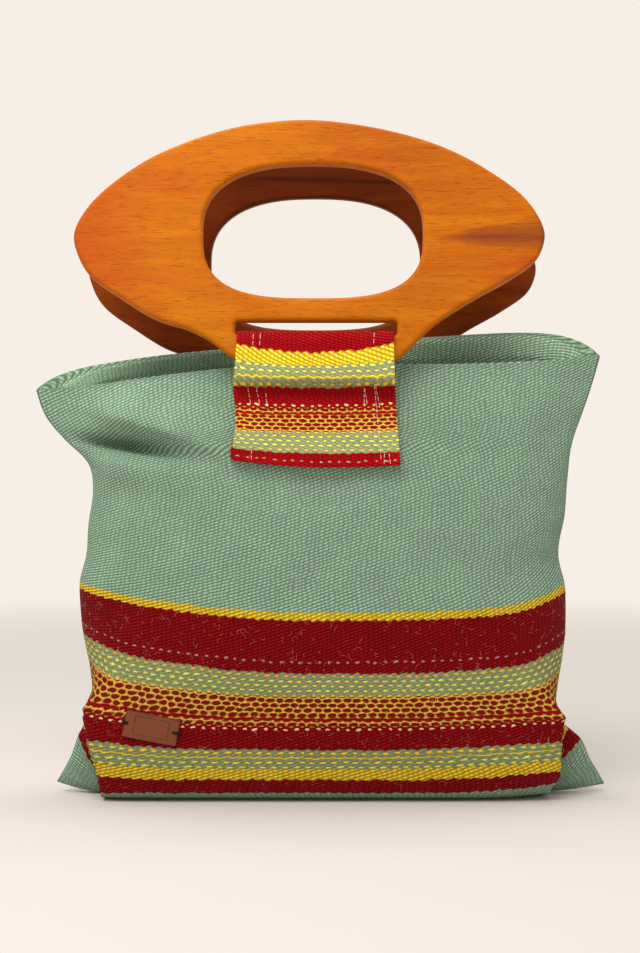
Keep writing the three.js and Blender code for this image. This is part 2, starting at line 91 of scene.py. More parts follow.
def new_mesh(name, points, faces, uv=None, inside=None):
    """A mesh from points in millimetres. Its UV map holds the cloth's own millimetres, and the
    inside value tells how much painted light brightens a point."""
    mesh = bpy.data.meshes.new(name)
    mesh.from_pydata((np.asarray(points) * MM).tolist(), [], [tuple(f) for f in faces])
    if uv is not None:
        layer = mesh.uv_layers.new(name="cloth_mm")
        loops = np.zeros(len(mesh.loops), int)
        mesh.loops.foreach_get("vertex_index", loops)
        layer.data.foreach_set("uv", np.asarray(uv)[loops].astype(np.float32).ravel())
    if inside is not None:
        marks = mesh.attributes.new("inside", "FLOAT", "POINT")
        marks.data.foreach_set("value", np.asarray(inside, np.float32))
    mesh.validate()
    piece = bpy.data.objects.new(name, mesh)
    bpy.context.scene.collection.objects.link(piece)
    return piece


def quads(low, high, turned=False):
    """Faces between two rows of point numbers."""
    return [quad[::-1] if turned else quad for quad in zip(low, low[1:], high[1:], high)]


def triangles(piece):
    return sum(len(face.vertices) - 2 for face in piece.data.polygons)


# %% [markdown]
# ## Shader sums as Python sums
#
# A weave is a matter of many small sums on the cloth's coordinates. `Signal` wraps a socket,
# so that a Python expression on signals adds the Math nodes, and `Paint` holds one material.

# %% Signals and paints
class Signal:
    """A shader socket in a Python sum. Its operators are added in the loops below."""

    def __init__(self, paint, socket):
        self.paint, self.socket = paint, socket

    def __neg__(self):
        return self * -1.0

    def wave(self):
        return 0.5 + 0.5 * (self * math.tau).cos()

    def clamped(self):
        return self.at_least(0.0).at_most(1.0)

    def between(self, low, high):
        return ((self - low) / (high - low)).clamped()


def math_node(operation, turned=False):
    def method(self, *others):
        return self.paint.sum(operation, *((*others, self) if turned else (self, *others)))
    return method


TWO_SIDED = {"add": "ADD", "sub": "SUBTRACT", "mul": "MULTIPLY", "truediv": "DIVIDE"}
ONE_SIDED = {
    "__pow__": "POWER", "__mod__": "FLOORED_MODULO", "cos": "COSINE", "abs": "ABSOLUTE",
    "round": "ROUND", "at_most": "MINIMUM", "at_least": "MAXIMUM",
}
for word, operation in TWO_SIDED.items():
    setattr(Signal, f"__{word}__", math_node(operation))
    setattr(Signal, f"__r{word}__", math_node(operation, turned=True))
for word, operation in ONE_SIDED.items():
    setattr(Signal, word, math_node(operation))


class Paint:
    """One material, and the nodes that are made for it."""

    def __init__(self, name):
        self.material = bpy.data.materials.new(name)
        self.material.use_nodes = True
        self.tree = self.material.node_tree
        self.tree.nodes.clear()
        self.out = self.tree.nodes.new("ShaderNodeOutputMaterial")

    def node(self, kind, settings=None, values=None, out=0):
        made = self.tree.nodes.new(kind)
        for name, value in (settings or {}).items():
            setattr(made, name, value)
        for name, value in (values or {}).items():
            if isinstance(value, Signal):
                self.tree.links.new(value.socket, made.inputs[name])
            else:
                made.inputs[name].default_value = value
        return Signal(self, made.outputs[out])

    def sum(self, operation, *values):
        return self.node("ShaderNodeMath", {"operation": operation}, dict(enumerate(values)))

    def steps(self, place, stops):
        """One colour after the other, each from its own place on."""
        made = self.node("ShaderNodeValToRGB", None, {0: place})
        ramp = made.socket.node.color_ramp
        ramp.interpolation = "CONSTANT"
        ramp.elements.remove(ramp.elements[1])
        for k, (start, colour) in enumerate(stops):
            stop = ramp.elements.new(start) if k else ramp.elements[0]
            stop.position = start
            stop.color = (*colour[:3], 1.0)
        return made

    def mix(self, share, first, second, how="MIX"):
        settings = {"data_type": "RGBA", "blend_type": how}
        return self.node("ShaderNodeMix", settings, {0: share, 6: first, 7: second}, out=2)

    def shaded(self, colour, light):
        return self.mix(1.0, colour, self.join(light, light, light), "MULTIPLY")

    def split(self, vector):
        made = self.node("ShaderNodeSeparateXYZ", None, {0: vector})
        return [Signal(self, socket) for socket in made.socket.node.outputs]

    def join(self, x, y, z):
        return self.node("ShaderNodeCombineXYZ", None, {0: x, 1: y, 2: z})

    def object_place(self):
        return self.node("ShaderNodeTexCoord", out=3)

    def cloth_place(self):
        return self.node("ShaderNodeUVMap", {"uv_map": "cloth_mm"})

    def stretched(self, place, scale):
        values = {"Vector": place, "Scale": scale}
        return self.node("ShaderNodeMapping", {"vector_type": "POINT"}, values)

    def grain(self, place, scale, detail=2.0, rough=0.5, warp=0.0):
        values = {"Vector": place, "Scale": scale, "Detail": detail, "Roughness": rough}
        return self.node("ShaderNodeTexNoise", None, {**values, "Distortion": warp})

    def finish(self, values, height=None, depth=MM):
        shader = self.node("ShaderNodeBsdfPrincipled", None, values)
        if height is not None:
            relief = {"Strength": 1.0, "Distance": depth, "Height": height}
            bump = self.node("ShaderNodeBump", None, relief)
            self.tree.links.new(bump.socket, shader.socket.node.inputs["Normal"])
        self.tree.links.new(shader.socket, self.out.inputs["Surface"])
        return self.material


def srgb(red, green, blue):
    """Linear colour from eight-bit values as a photograph shows them."""
    parts = [value / 255 for value in (red, green, blue)]
    return [v / 12.92 if v <= 0.04045 else ((v + 0.055) / 1.055) ** 2.4 for v in parts] + [1.0]


# %% [markdown]
# ## The cloth body as a loft
#
# A bag that stands empty is a lofted shell: at each height along the cloth the front and the
# back make one section, open and round low down, pinched flat at the rim. The tables hold
# those sections as shares of a few sizes, so the shell sags, leans and folds where they say.

# %% Sizes of the cloth body
BODY_HEIGHT = 263.0
HALF_WIDTH = 176.0
BELLY = 46.0  # the deepest section, from the seam plane to the outer face
WALL = 2.4
SEAM_ALLOWANCE = 5.0
BACK_RIM_RISE, BACK_RIM_FROM = 15.5, 0.6  # in millimetres, and from which share of the height
MIDDLE = np.array([0.088, 1.514, 0.0])  # from the sections' own origin to the row frame's

# the low corners: they are folded in behind the body's edge, and a flat ear stands out there
TUCK_END, TUCK_ROWS = 8.0, 2.6
CREASE_SHARE, WIDEST = 0.93, 0.87
UNDERCUT, EAR_DEPTH = 7.0, 6.0

# the rest of the edge: how square and how round it is, in the belly and at the pinched rim
EDGE_POWER, EDGE_ROUNDNESS = (3.0, 1.5), (0.4, 1.45)
SEAM_FROM = 0.74

# how late the sides start to bend up or down, at the left and at the right
BEND, RIM_BEND, LOW_BEND = (1.5, 2.6), (1.3, 0.8), (3.2, 1.8)
BACK_RIM_LIFT = (-0.07, 0.032)

# up the middle of the cloth, from the base line to the rim: height and depth of the front and of
# the back as shares, how far the section is pinched, and how much of its width lies flat
PROFILE_KEYS = ("z", "d", "zb", "db", "pinch", "flat")
PROFILE = np.array([
    (0, 0, 0, 0, 0, 0.55),
    (0, 0.3, 0, 0.3, 0, 0.55),
    (0.002, 0.57, 0.002, 0.57, 0, 0.55),
    (0.011, 0.73, 0.011, 0.73, 0, 0.5),
    (0.025, 0.85, 0.025, 0.84, 0, 0.4),
    (0.057, 0.925, 0.057, 0.9, 0, 0.25),
    (0.122, 0.985, 0.122, 0.95, 0, 0.1),
    (0.21, 1, 0.21, 0.97, 0, 0.1),
    (0.32, 0.99, 0.32, 0.96, 0, 0.1),
    (0.426, 0.965, 0.426, 0.935, 0, 0.1),
    (0.513, 0.93, 0.515, 0.9, 0.05, 0.1),
    (0.608, 0.89, 0.612, 0.86, 0.1, 0.1),
    (0.7, 0.835, 0.712, 0.8, 0.2, 0.1),
    (0.783, 0.77, 0.806, 0.735, 0.35, 0.1),
    (0.867, 0.695, 0.9, 0.67, 0.55, 0.1),
    (0.939, 0.622, 0.966, 0.61, 0.8, 0.1),
    (1, 0.587, 1, 0.555, 1, 0.1),
])

# the same rows at the left and the right: half width, how far the ear stands out, how high the
# side bends up, and the seam's own rise
SIDE_KEYS = ("half_l", "half_r", "ear_l", "ear_r", "lift_l", "lift_r", "seam_l", "seam_r")
SIDES = np.array([
    (0.755, 0.8, 0.175, 0.205, 0, 0.004, 0.026, 0.017),
    (0.755, 0.8, 0.148, 0.177, 0, 0.018, 0.058, 0.037),
    (0.755, 0.8, 0.125, 0.154, 0, 0.034, 0.085, 0.044),
    (0.757, 0.805, 0.108, 0.13, 0, 0.045, 0.105, 0.056),
    (0.76, 0.818, 0.094, 0.1, -0.008, 0.04, 0.12, 0.066),
    (0.768, 0.828, 0.068, 0.047, 0.02, 0.031, 0.083, 0.068),
    (0.8, 0.832, 0.012, 0.006, 0.042, 0.027, 0.04, 0.036),
    (0.82, 0.846, 0, 0, 0.057, 0.023, 0.03, 0.032),
    (0.84, 0.864, 0, 0, 0.057, 0.027, 0.025, 0.038),
    (0.846, 0.864, 0, 0, 0.055, 0.03, 0.012, 0.03),
    (0.824, 0.841, 0, 0, 0.042, 0.028, 0.006, 0.028),
    (0.818, 0.864, 0, 0, 0.027, 0.025, 0, 0.025),
    (0.802, 0.874, 0, 0, 0.012, 0.022, 0, 0.018),
    (0.818, 0.89, 0, 0, -0.008, 0.02, 0, 0.012),
    (0.9, 0.93, 0, 0, -0.035, 0.022, 0, 0.01),
    (0.97, 0.965, 0, 0, -0.055, 0.023, 0.006, 0.01),
    (1.004, 0.99, 0, 0, -0.065, 0.023, 0.016, 0.008),
])
LAST_ROW = len(PROFILE) - 1

# Folds of the front: x, z, length, width above, width below, turn in degrees, depth inward
FRONT_FOLDS = {
    "crease under the wing": (-122, 214, 30, 6, 2.0, -9, 21),
    "its lower lip": (-120, 203, 34, 5, 12, -9, -8),
    "ridge of the wing": (-108, 229, 46, 17, 7, -17, -12),
    "hollow under the strap": (2, 194, 52, 6, 14, 0, 3),
    "hollow low on the left": (-130, 112, 26, 16, 16, 15, 3.5),
    "dimple at the right edge": (150, 233, 24, 12, 12, 65, 5),
    "ridge beside the dimple": (132, 251, 24, 9, 9, -60, -2),
    "upper notch at the right": (147, 178, 16, 7, 7, -25, 3),
    "lower notch at the right": (143, 143, 15, 5, 5, -20, 4),
}
print(len(PROFILE), "sections and the folds:", ", ".join(FRONT_FOLDS))


# %% [markdown]
# A section is read between the table's rows with a smooth curve, and its two sides bend up,
# down or out by their own columns. The same function gives the inner face, set in by the wall.

# %% Curves and one section of the cloth
def ease(value):
    t = np.clip(value, 0.0, 1.0)
    return t * t * (3 - 2 * t)


def lerp(a, b, t):
    return a + (b - a) * t


def cubic(start, end, slope_in, slope_out, t):
    """The curve from start to end that leaves and arrives with the given slopes."""
    rise = start - end
    mixed = (2 * rise + slope_in + slope_out) * t - 3 * rise - 2 * slope_in - slope_out
    return mixed * t * t + slope_in * t + start


def run_along(points):
    """How far along a line each of its points lies."""
    steps = np.linalg.norm(np.diff(points, axis=0), axis=1)
    return np.concatenate([[0], np.cumsum(steps)])


def points_at(at, run, points):
    return np.stack([np.interp(at, run, column) for column in points.T], axis=1)


def row_at(rows, keys, place):
    low = min(int(math.floor(place)), len(rows) - 2)
    a, b, c, d = (rows[max(0, min(len(rows) - 1, low + k))] for k in (-1, 0, 1, 2))
    return dict(zip(keys, cubic(b, c, (c - a) / 2, (d - b) / 2, place - low)))


def fold_depth(x, z):
    depth = np.zeros_like(x)
    for fold_x, fold_z, length, above, below, turn, inward in FRONT_FOLDS.values():
        angle = math.radians(turn)
        dx, dz = x - fold_x, z - fold_z
        a = (dx * math.cos(angle) + dz * math.sin(angle)) / length
        b = dz * math.cos(angle) - dx * math.sin(angle)
        b = b / np.where(b > 0, above, below)
        depth += inward * np.exp(-a * a - b * b)
    return depth


def section(place, side, inset=0.0, samples=240):
    """Points of the front (side -1) or the back (side 1), from the left seam to the right."""
    mid = row_at(PROFILE, PROFILE_KEYS, place)
    ends = row_at(SIDES, SIDE_KEYS, place)
    s = -np.cos(np.pi * np.arange(samples + 1) / samples)
    share, left = np.abs(s), s < 0
    front, fin = side < 0, 0.0 if inset > 0 else 1.0

    def at_side(key):
        return np.where(left, ends[key + "_l"], ends[key + "_r"])

    # heights and depth in the middle
    rim_share = 0.0 if front else max(0.0, place - (LAST_ROW - 1))
    above = 0.0 if front else max(0.0, mid["zb"] - BACK_RIM_FROM) / (1 - BACK_RIM_FROM)
    lifted = inset * (1 - mid["z"])
    front_height = mid["z"] * BODY_HEIGHT + lifted
    height = (mid["z"] if front else mid["zb"]) * BODY_HEIGHT + BACK_RIM_RISE * above + lifted
    depth = max(0.0, (mid["d"] if front else mid["db"]) * BELLY - inset)

    # the edge: round in the belly, pinched at the rim, tucked in behind itself at the base
    eared = max(0.0, min(1.0, 2 - place / 3))
    side_wall = inset + SEAM_ALLOWANCE * max(mid["pinch"], eared) if inset > 0 else 0.0
    half = at_side("half") * HALF_WIDTH - side_wall
    pinched = mid["pinch"] ** 2
    power, roundness = lerp(*EDGE_POWER, pinched), lerp(*EDGE_ROUNDNESS, pinched)
    round_edge = np.maximum(0, 1 - share ** power) ** roundness
    tuck = ease((TUCK_END - place) / TUCK_ROWS)
    bulge = np.minimum(1, share / CREASE_SHARE)
    flap = np.maximum(0, share - CREASE_SHARE) / (1 - CREASE_SHARE)
    edge = lerp(round_edge, (1 - bulge ** 9) ** 0.5, tuck)
    ear_depth = fin * min(1.0, depth / 12) * np.sqrt(1 - flap ** 2) * np.minimum(1, bulge ** 8)

    # across: out to the widest place, back under it, and out again along the ear
    ramp = lerp(np.maximum(0, (share - SEAM_FROM) / (1 - SEAM_FROM)) ** 1.6, flap, tuck)
    undercut = UNDERCUT * fin * tuck * min(1.0, depth / 25)
    behind = ease((bulge - WIDEST) / (1 - WIDEST)) - flap * ease(6 - place)
    out = half * lerp(share, np.minimum(1, bulge / WIDEST), min(1.0, 2 * tuck))
    x = np.sign(s) * (out - undercut * behind + at_side("ear") * HALF_WIDTH * ramp * fin)

    # up: the sides bend away from the middle, and the seams have a rise of their own
    seam_lift = at_side("lift") * BODY_HEIGHT
    side_lift = lerp(seam_lift, np.where(left, *BACK_RIM_LIFT) * BODY_HEIGHT, rim_share)
    bend = lerp(np.where(left, *BEND), np.where(left, *RIM_BEND), rim_share)
    bend = lerp(bend, np.where(left, *LOW_BEND), tuck * fin)
    away = np.maximum(0, (share - mid["flat"]) / (1 - mid["flat"]))
    seam_rise = at_side("seam") * BODY_HEIGHT * lerp(ramp, flap ** 1.7, tuck) * fin
    blunt = share ** 11 * (height - front_height + side_lift - seam_lift)
    z = height + side_lift * away ** bend + seam_rise - blunt

    pressed = fold_depth(x, z) * np.minimum(1, 2 * edge) if front else 0
    y = np.maximum(0, depth * edge + tuck * EAR_DEPTH * ear_depth - pressed)
    return np.stack([x, side * y, z], axis=1)


def columns(curve, count):
    """The section cut into strips of equal cloth width, closer together at the seams."""
    run = run_along(curve)
    even = np.linspace(0, 1, count + 1)
    share = lerp(even, 0.5 - 0.5 * np.cos(np.pi * even), 0.45)
    return points_at(share * run[-1], run, curve), share


# %% [markdown]
# The rows are spread so that each is the same length of cloth from the last, measured up the
# middle of the front. That length is also the V coordinate: stripes and weave then follow the
# cloth in true millimetres, and U is the cloth's width from its middle.

# %% Rows along the cloth
ROWS, COLUMNS = 160, 132
CLOTH_WIDTH = 2 * HALF_WIDTH

middle_places = np.linspace(0, LAST_ROW, 900)
middle_line = np.array([section(place, -1, samples=4)[2] for place in middle_places])
middle_run = run_along(middle_line)
CLOTH_LENGTH = middle_run[-1]
row_runs = np.linspace(0, CLOTH_LENGTH, ROWS + 1)
row_places = np.interp(row_runs, middle_run, middle_places)
print(f"the cloth runs {CLOTH_LENGTH:.0f} mm from the base line to the front rim")

# %% [markdown]
# The rim is turned in and sewn, so the inner face steps in by one more layer over the hem. A
# few slow waves of noise keep the cloth from lying as smooth as sheet metal.

# %% Outer and inner faces
HEM = 17.0
HEM_LAYER = 1.9
INNER_START = 0.17  # the inner face begins where the cloth is deeper than its own wall
WAVES = ((62, 48, 3.1, 1.5), (21, 17, 9.7, 0.45))  # length, height, seed and depth
GROOVE, GROOVE_WIDTH = 1.9, 2.6


def face_grid(side, inner=False):
    rows, shares = [], []
    for run, place in zip(row_runs, row_places):
        inset = 0.0
        if inner:
            place = INNER_START + place * (LAST_ROW - INNER_START) / LAST_ROW
            inset = WALL + HEM_LAYER * ease((run - CLOTH_LENGTH + HEM) / 2.5)
        points, share = columns(section(place, side, inset), COLUMNS)
        rows.append(points)
        shares.append(share)
    return np.array(rows), np.array(shares)


def wave_height(u, v, side):
    waves = sum(depth * noise.noise(Vector((u / length, v / height, seed * side)))
                for length, height, seed, depth in WAVES)
    off_seam = ease((HALF_WIDTH - abs(u)) / 14)
    off_base = ease((v - 40) / 30)
    off_rim = 0.35 + 0.65 * ease((CLOTH_LENGTH - v) / 20)
    return waves * off_seam * off_base * off_rim


def grid_normals(grid, side):
    normal = -side * np.cross(np.gradient(grid, axis=1), np.gradient(grid, axis=0))
    return normal / np.maximum(1e-9, np.linalg.norm(normal, axis=2, keepdims=True))


def seam_groove(grid, u):
    """The side seam draws the round sides in along one line."""
    pinch = np.array([row_at(PROFILE, PROFILE_KEYS, place)["pinch"] for place in row_places])
    amount = GROOVE * (ease((row_runs - 58) / 20) * (1 - np.clip(pinch * 1.6, 0, 1)))[:, None]
    off_seam = HALF_WIDTH - np.abs(u)
    grid[:, :, 0] -= np.sign(u) * amount * np.exp(-(off_seam / GROOVE_WIDTH) ** 2)


grids = {}
for side in (-1, 1):
    outer, shares = face_grid(side)
    inner, _ = face_grid(side, inner=True)
    width = (shares - 0.5) * CLOTH_WIDTH
    waves = [[wave_height(u, run, side) for u in row] for row, run in zip(width, row_runs)]
    push = grid_normals(outer, side) * np.array(waves)[:, :, None]
    seam_groove(outer, width)
    grids[side] = {"outer": outer + push, "inner": inner + push, "u": width}
print("outer faces of", grids[-1]["outer"].shape[:2], "points each")

# %% [markdown]
# The faces are joined into one closed shell: outer front and back share their seams and the
# base line, the inner ones too, and a rounded strip closes the rim between them. The inner face
# is marked near the rim for painted light that brightens the shade in the mouth, more at the left.

# %% Join the shell
RIM_STEPS = 6
RIM_TURNS = [math.pi * k / RIM_STEPS for k in range(1, RIM_STEPS)]
# painted light in the mouth: its depth below the rim, its fade, and its strength at the left and
# the right seam
PAINTED_LIGHT_DEPTH, PAINTED_LIGHT_FADE, PAINTED_LIGHT_ENDS = 80, 50, (1.6, 0.6)


class Shell:
    def __init__(self):
        self.points, self.uv, self.faces = [], [], []

    def add(self, point, uv):
        self.points.append(point - MIDDLE)
        self.uv.append(uv)
        return len(self.points) - 1

    def pair(self, grid_of, u_of, v, share_first_row):
        """Point numbers of a front and a back grid that share their side columns."""
        ids = {}
        for side, grid in grid_of.items():
            ids[side] = np.zeros(grid.shape[:2], int)
            for j in range(grid.shape[0]):
                for i in range(grid.shape[1]):
                    shared = side > 0 and (i in (0, COLUMNS) or (share_first_row and j == 0))
                    own = (u_of[side][min(j, len(u_of[side]) - 1)][i], v[j])
                    ids[side][j, i] = ids[-1][j, i] if shared else self.add(grid[j, i], own)
        return ids

    def skin(self, rows_of, inward=False):
        for side, rows in rows_of.items():
            for low, high in zip(rows, rows[1:]):
                self.faces += quads(low, high, turned=(side > 0) != inward)


def each_side(build):
    return {side: build(side) for side in (-1, 1)}


def rim_arc(side):
    """Half a turn from the outer rim over to the inner one."""
    outer_rim, inner_rim = grids[side]["outer"][-1], grids[side]["inner"][-1]
    middle, half = (outer_rim + inner_rim) / 2, (outer_rim - inner_rim) / 2
    rise = np.minimum(np.linalg.norm(half, axis=1), 2.2)[:, None] * (0, 0, 1)
    return np.array([middle + half * math.cos(t) + rise * math.sin(t) for t in RIM_TURNS])


shell = Shell()
u_of = each_side(lambda side: grids[side]["u"])
outer_ids, inner_ids = (
    shell.pair(each_side(lambda side: grids[side][face]), u_of, row_runs, True)
    for face in ("outer", "inner")
)
rim_runs = [CLOTH_LENGTH + 3 * math.sin(t) for t in RIM_TURNS]
rim_u = each_side(lambda side: [u_of[side][-1]])
rim_ids = shell.pair(each_side(rim_arc), rim_u, rim_runs, False)
shell.skin(outer_ids)
shell.skin(inner_ids, inward=True)
shell.skin(each_side(lambda side: [outer_ids[side][-1], *rim_ids[side], inner_ids[side][-1]]))

# painted light: how much the shaded inner face is brightened, fading in towards the rim and
# stronger at the left seam than at the right
inside = np.zeros(len(shell.points))
for side in (-1, 1):
    for row, run in zip(inner_ids[side], row_runs):
        near_rim = ease((run - CLOTH_LENGTH + PAINTED_LIGHT_DEPTH) / PAINTED_LIGHT_FADE)
        inside[row] = near_rim * np.linspace(*PAINTED_LIGHT_ENDS, COLUMNS + 1)
cloth = new_mesh("woven_body", shell.points, shell.faces, shell.uv, inside)
smooth(cloth)
print("woven_body", triangles(cloth), "triangles")

# %% [markdown]
# ## Where things lie on the cloth
#
# Straps, label and stitches sit on the cloth, so they ask it where it is: a ray from in front
# of the bag, or from behind it, finds the face at any place.

# %% Rays onto the cloth
cloth_tree = BVHTree.FromPolygons(
    [vertex.co.copy() for vertex in cloth.data.vertices],
    [tuple(face.vertices) for face in cloth.data.polygons],
)


def cloth_out(x, z, side):
    """How far the cloth's outer face stands from the seam plane, in millimetres."""
    start = Vector(((x - MIDDLE[0]) * MM, side * 0.3, z * MM))
    hit = cloth_tree.ray_cast(start, Vector((0, -side, 0)))[0]
    return side * (hit.y / MM + MIDDLE[1]) if hit else 0.0


print("cloth stands out", round(cloth_out(0, 220, -1), 1), "mm in front at the strap")

# %% [markdown]
# ## The handles
#
# Each handle is a flat hardwood plate, sawn to an almond outline and sanded round at every
# edge. It starts as three closed loops, for the outline, the hand hole and the strap slot.

# %% Sizes of the handles
HALF_LENGTH = 143.0
PLATE = 11.0
EDGE_RADIUS = 2.8
BAR, WEB, HOLE_HEIGHT, HOLE_LENGTH, TOP_BAR = 25.5, 14.0, 84.0, 134.0, 27.8
STRAP = 2.8  # the thickness that the seat leaves for it
SLOT_HEIGHT = 8.9
SLOT_LENGTH = 98.0
SLOT_CENTRE = 2.0
PLATE_HEIGHT = BAR + SLOT_HEIGHT + WEB + HOLE_HEIGHT + TOP_BAR
# overlap: how far a plate hangs down over the cloth; lean: inwards, towards the other plate
HANDLES = {
    "front": {"side": -1, "x": -4.3, "overlap": 7.0, "lean": math.radians(8)},
    "back": {"side": 1, "x": -2.7, "overlap": 36.5, "lean": math.radians(2)},
}
OUTLINE = np.array([
    (-0.01, 1), (0.15, 0.987), (0.352, 0.952), (0.557, 0.893), (0.75, 0.8), (0.903, 0.692),
    (0.975, 0.59), (0.985, 0.535), (0.95, 0.455), (0.825, 0.372), (0.688, 0.303),
    (0.526, 0.209), (0.455, 0.152), (0.364, 0.072), (0.26, 0.018), (0.12, 0), (-0.11, 0),
    (-0.235, 0.018), (-0.335, 0.072), (-0.437, 0.142), (-0.52, 0.181), (-0.667, 0.225),
    (-0.803, 0.299), (-0.948, 0.395), (-1.0, 0.475), (-1.015, 0.555), (-0.942, 0.675),
    (-0.735, 0.828), (-0.53, 0.916), (-0.33, 0.971), (-0.15, 0.995),
])


def smooth_line(knots, steps, closed=False):
    """A centripetal curve through the knots, whose first two columns are its two directions."""
    total, dense = len(knots), []
    for k in range(total if closed else total - 1):
        near = (n % total if closed else max(0, min(total - 1, n)) for n in range(k - 1, k + 3))
        a, b, c, d = (knots[n] for n in near)
        ta, tb, tc = (max(0.05, np.linalg.norm((q - p)[:2]) ** 0.5)
                      for p, q in ((a, b), (b, c), (c, d)))
        slope_in = tb * ((b - a) / ta - (c - a) / (ta + tb) + (c - b) / tb)
        slope_out = tb * ((c - b) / tb - (d - b) / (tb + tc) + (d - c) / tc)
        dense += [cubic(b, c, slope_in, slope_out, t) for t in np.arange(steps) / steps]
    return np.array(dense + [knots[0 if closed else -1]])


def smooth_loop(knots, count):
    """A closed curve through the knots, cut into equal lengths."""
    line = smooth_line(knots, 20, closed=True)
    run = run_along(line)
    return points_at(np.linspace(0, run[-1], count + 1)[:-1], run, line)


def hand_hole(count):
    """A superellipse, squarer below than above."""
    def rounded(value, power):
        return math.copysign(abs(value) ** (2 / power), value)

    middle = BAR + SLOT_HEIGHT + WEB + HOLE_HEIGHT / 2
    points = []
    for angle in math.tau * np.arange(count) / count:
        power = 2.5 if math.sin(angle) >= 0 else 3
        across, up = rounded(math.cos(angle), power), rounded(math.sin(angle), power)
        points.append((across * HOLE_LENGTH / 2, middle + up * HOLE_HEIGHT / 2))
    return smooth_loop(np.array(points), count)


def strap_slot(radius=2.6, steps=6):
    points = []
    for corner_x, corner_z, start in ((1, 1, 0), (-1, 1, 90), (-1, -1, 180), (1, -1, 270)):
        x = SLOT_CENTRE + corner_x * (SLOT_LENGTH / 2 - radius)
        z = BAR + SLOT_HEIGHT / 2 + corner_z * (SLOT_HEIGHT / 2 - radius)
        for turn in np.radians(start + 90 * np.arange(steps + 1) / steps):
            points.append((x + radius * math.cos(turn), z + radius * math.sin(turn)))
    return np.array(points)


# %% [markdown]
# The lower edge of each plate sits as far out as the cloth and the strap need. That place is
# worked out from the same middle line that the cloth was lofted on.

# %% Where the plates sit
SEAT_GAP = 0.6
BASE_ROLL = 8  # below this height the cloth rolls in under itself and clears the plate


def seat_of(handle):
    line = np.array([section(p, handle["side"], samples=4)[2] for p in middle_places])
    heights, depths = line[:, 2], np.abs(line[:, 1])
    low, upright = heights[-1] - handle["overlap"], heights > BASE_ROLL
    clear = max(
        np.interp(low + up, heights[upright], depths[upright]) + up * math.tan(handle["lean"])
        for up in np.linspace(0, handle["overlap"], 13)
    )
    return {"height": low, "depth": clear + SEAT_GAP + STRAP + PLATE / 2}


for handle in HANDLES.values():
    handle.update(seat_of(handle))
print({name: (round(h["height"], 1), round(h["depth"], 1)) for name, h in HANDLES.items()})

# %% [markdown]
# Half a plate is modelled: the loops are filled and extruded, and the flat face is then inset
# again and again, each time a little less far out, so that its rims turn a quarter circle. The
# other half is its mirror image. Each step leaves one even ring of faces, also in tight bends.

# %% Model a plate
def round_edge(radius, steps):
    """Insets of the flat face that together turn a quarter circle: (inward, outward) each."""
    turns = [math.pi / 2 * k / steps for k in range(steps + 1)]
    places = [(radius * (1 - math.cos(t)), radius * math.sin(t)) for t in turns]
    return [(b[0] - a[0], b[1] - a[1]) for a, b in zip(places, places[1:])]


def select_faces(piece, chosen):
    for face in piece.data.polygons:
        face.select = chosen(abs(face.center.y) / MM)


def wooden_plate(name, handle):
    outline = smooth_loop(OUTLINE * (HALF_LENGTH, PLATE_HEIGHT), 300)
    loops = [outline, hand_hole(170), strap_slot()]
    bpy.ops.object.select_all(action="DESELECT")
    bpy.ops.mesh.primitive_circle_add(vertices=len(outline), radius=0.1)
    plate = bpy.context.active_object
    plate.name = plate.data.name = name
    with edit_mode(plate):
        for loop in loops[1:]:
            bpy.ops.mesh.primitive_circle_add(vertices=len(loop), radius=0.05)
    for vertex, (x, z) in zip(plate.data.vertices, np.concatenate(loops) * MM):
        vertex.co = (x, 0, z)
    straight = PLATE / 2 - EDGE_RADIUS
    with edit_mode(plate):
        bpy.ops.mesh.select_mode(type="FACE")
        bpy.ops.mesh.select_all(action="SELECT")
        bpy.ops.mesh.fill(use_beauty=True)
        bpy.ops.mesh.select_all(action="SELECT")
        out = (0, -straight * MM, 0)
        bpy.ops.mesh.extrude_region_move(TRANSFORM_OT_translate={"value": out})
    select_faces(plate, lambda away: away > straight - 0.1)
    with edit_mode(plate):
        bpy.ops.mesh.normals_make_consistent(inside=False)
        for inward, outward in round_edge(EDGE_RADIUS, 7):
            bpy.ops.mesh.inset(thickness=inward * MM, depth=outward * MM, use_even_offset=True)
    select_faces(plate, lambda away: away < 0.1)
    with edit_mode(plate):
        bpy.ops.mesh.delete(type="FACE")
    apply_modifier(plate, "MIRROR", use_axis=(False, True, False), merge_threshold=0.01 * MM)
    side = handle["side"]
    plate.rotation_euler = (side * handle["lean"], 0, 0)
    seat = np.array([handle["x"], side * handle["depth"], handle["height"]]) - MIDDLE
    plate.location = seat * MM
    bpy.ops.object.transform_apply(location=True, rotation=True, scale=True)
    with edit_mode(plate):
        bpy.ops.mesh.select_all(action="SELECT")
        bpy.ops.mesh.normals_make_consistent(inside=False)
    smooth(plate, 40)
    apply_modifier(plate, "WEIGHTED_NORMAL", keep_sharp=True, weight=100)
    print(name, triangles(plate), "triangles")
    return plate


front_plate = wooden_plate("front_wooden_handle", HANDLES["front"])
back_plate = wooden_plate("back_wooden_handle", HANDLES["back"])

# %% [markdown]
# ## The straps
#
# A strap is a strip of the border's cloth, passed through the slot, folded round the lower bar
# and sewn down on the bag with both ends. So it is one sheet on a path seen from the side, as
# wide as the slot and a little wider where it is free below. The path hugs the cloth where the
# strap lies on it, and turns in sharply under the bar, where the photograph shows a crease.
# Its ends aren't cut quite straight, so tables give its edges and the stripes at each height.

# %% The strap's path in side view
STRAP_WALL = 2.3
STRAP_GAP = 0.45  # between the strap and the wood
STRAP_DROP = 54.0
STRAP_X = {name: handle["x"] + SLOT_CENTRE for name, handle in HANDLES.items()}

# height over the strap's lower edge, and the two edges of the outer layer from the middle
EDGES = np.array([
    (0, -50.1, 50.4), (12, -50.3, 50.0), (25, -48.6, 49.0), (36, -48.8, 48.3),
    (47, -50.4, 47.8), (58, -48.9, 47.0), (75, -47.9, 46.7), (90, -47.4, 47.2),
])
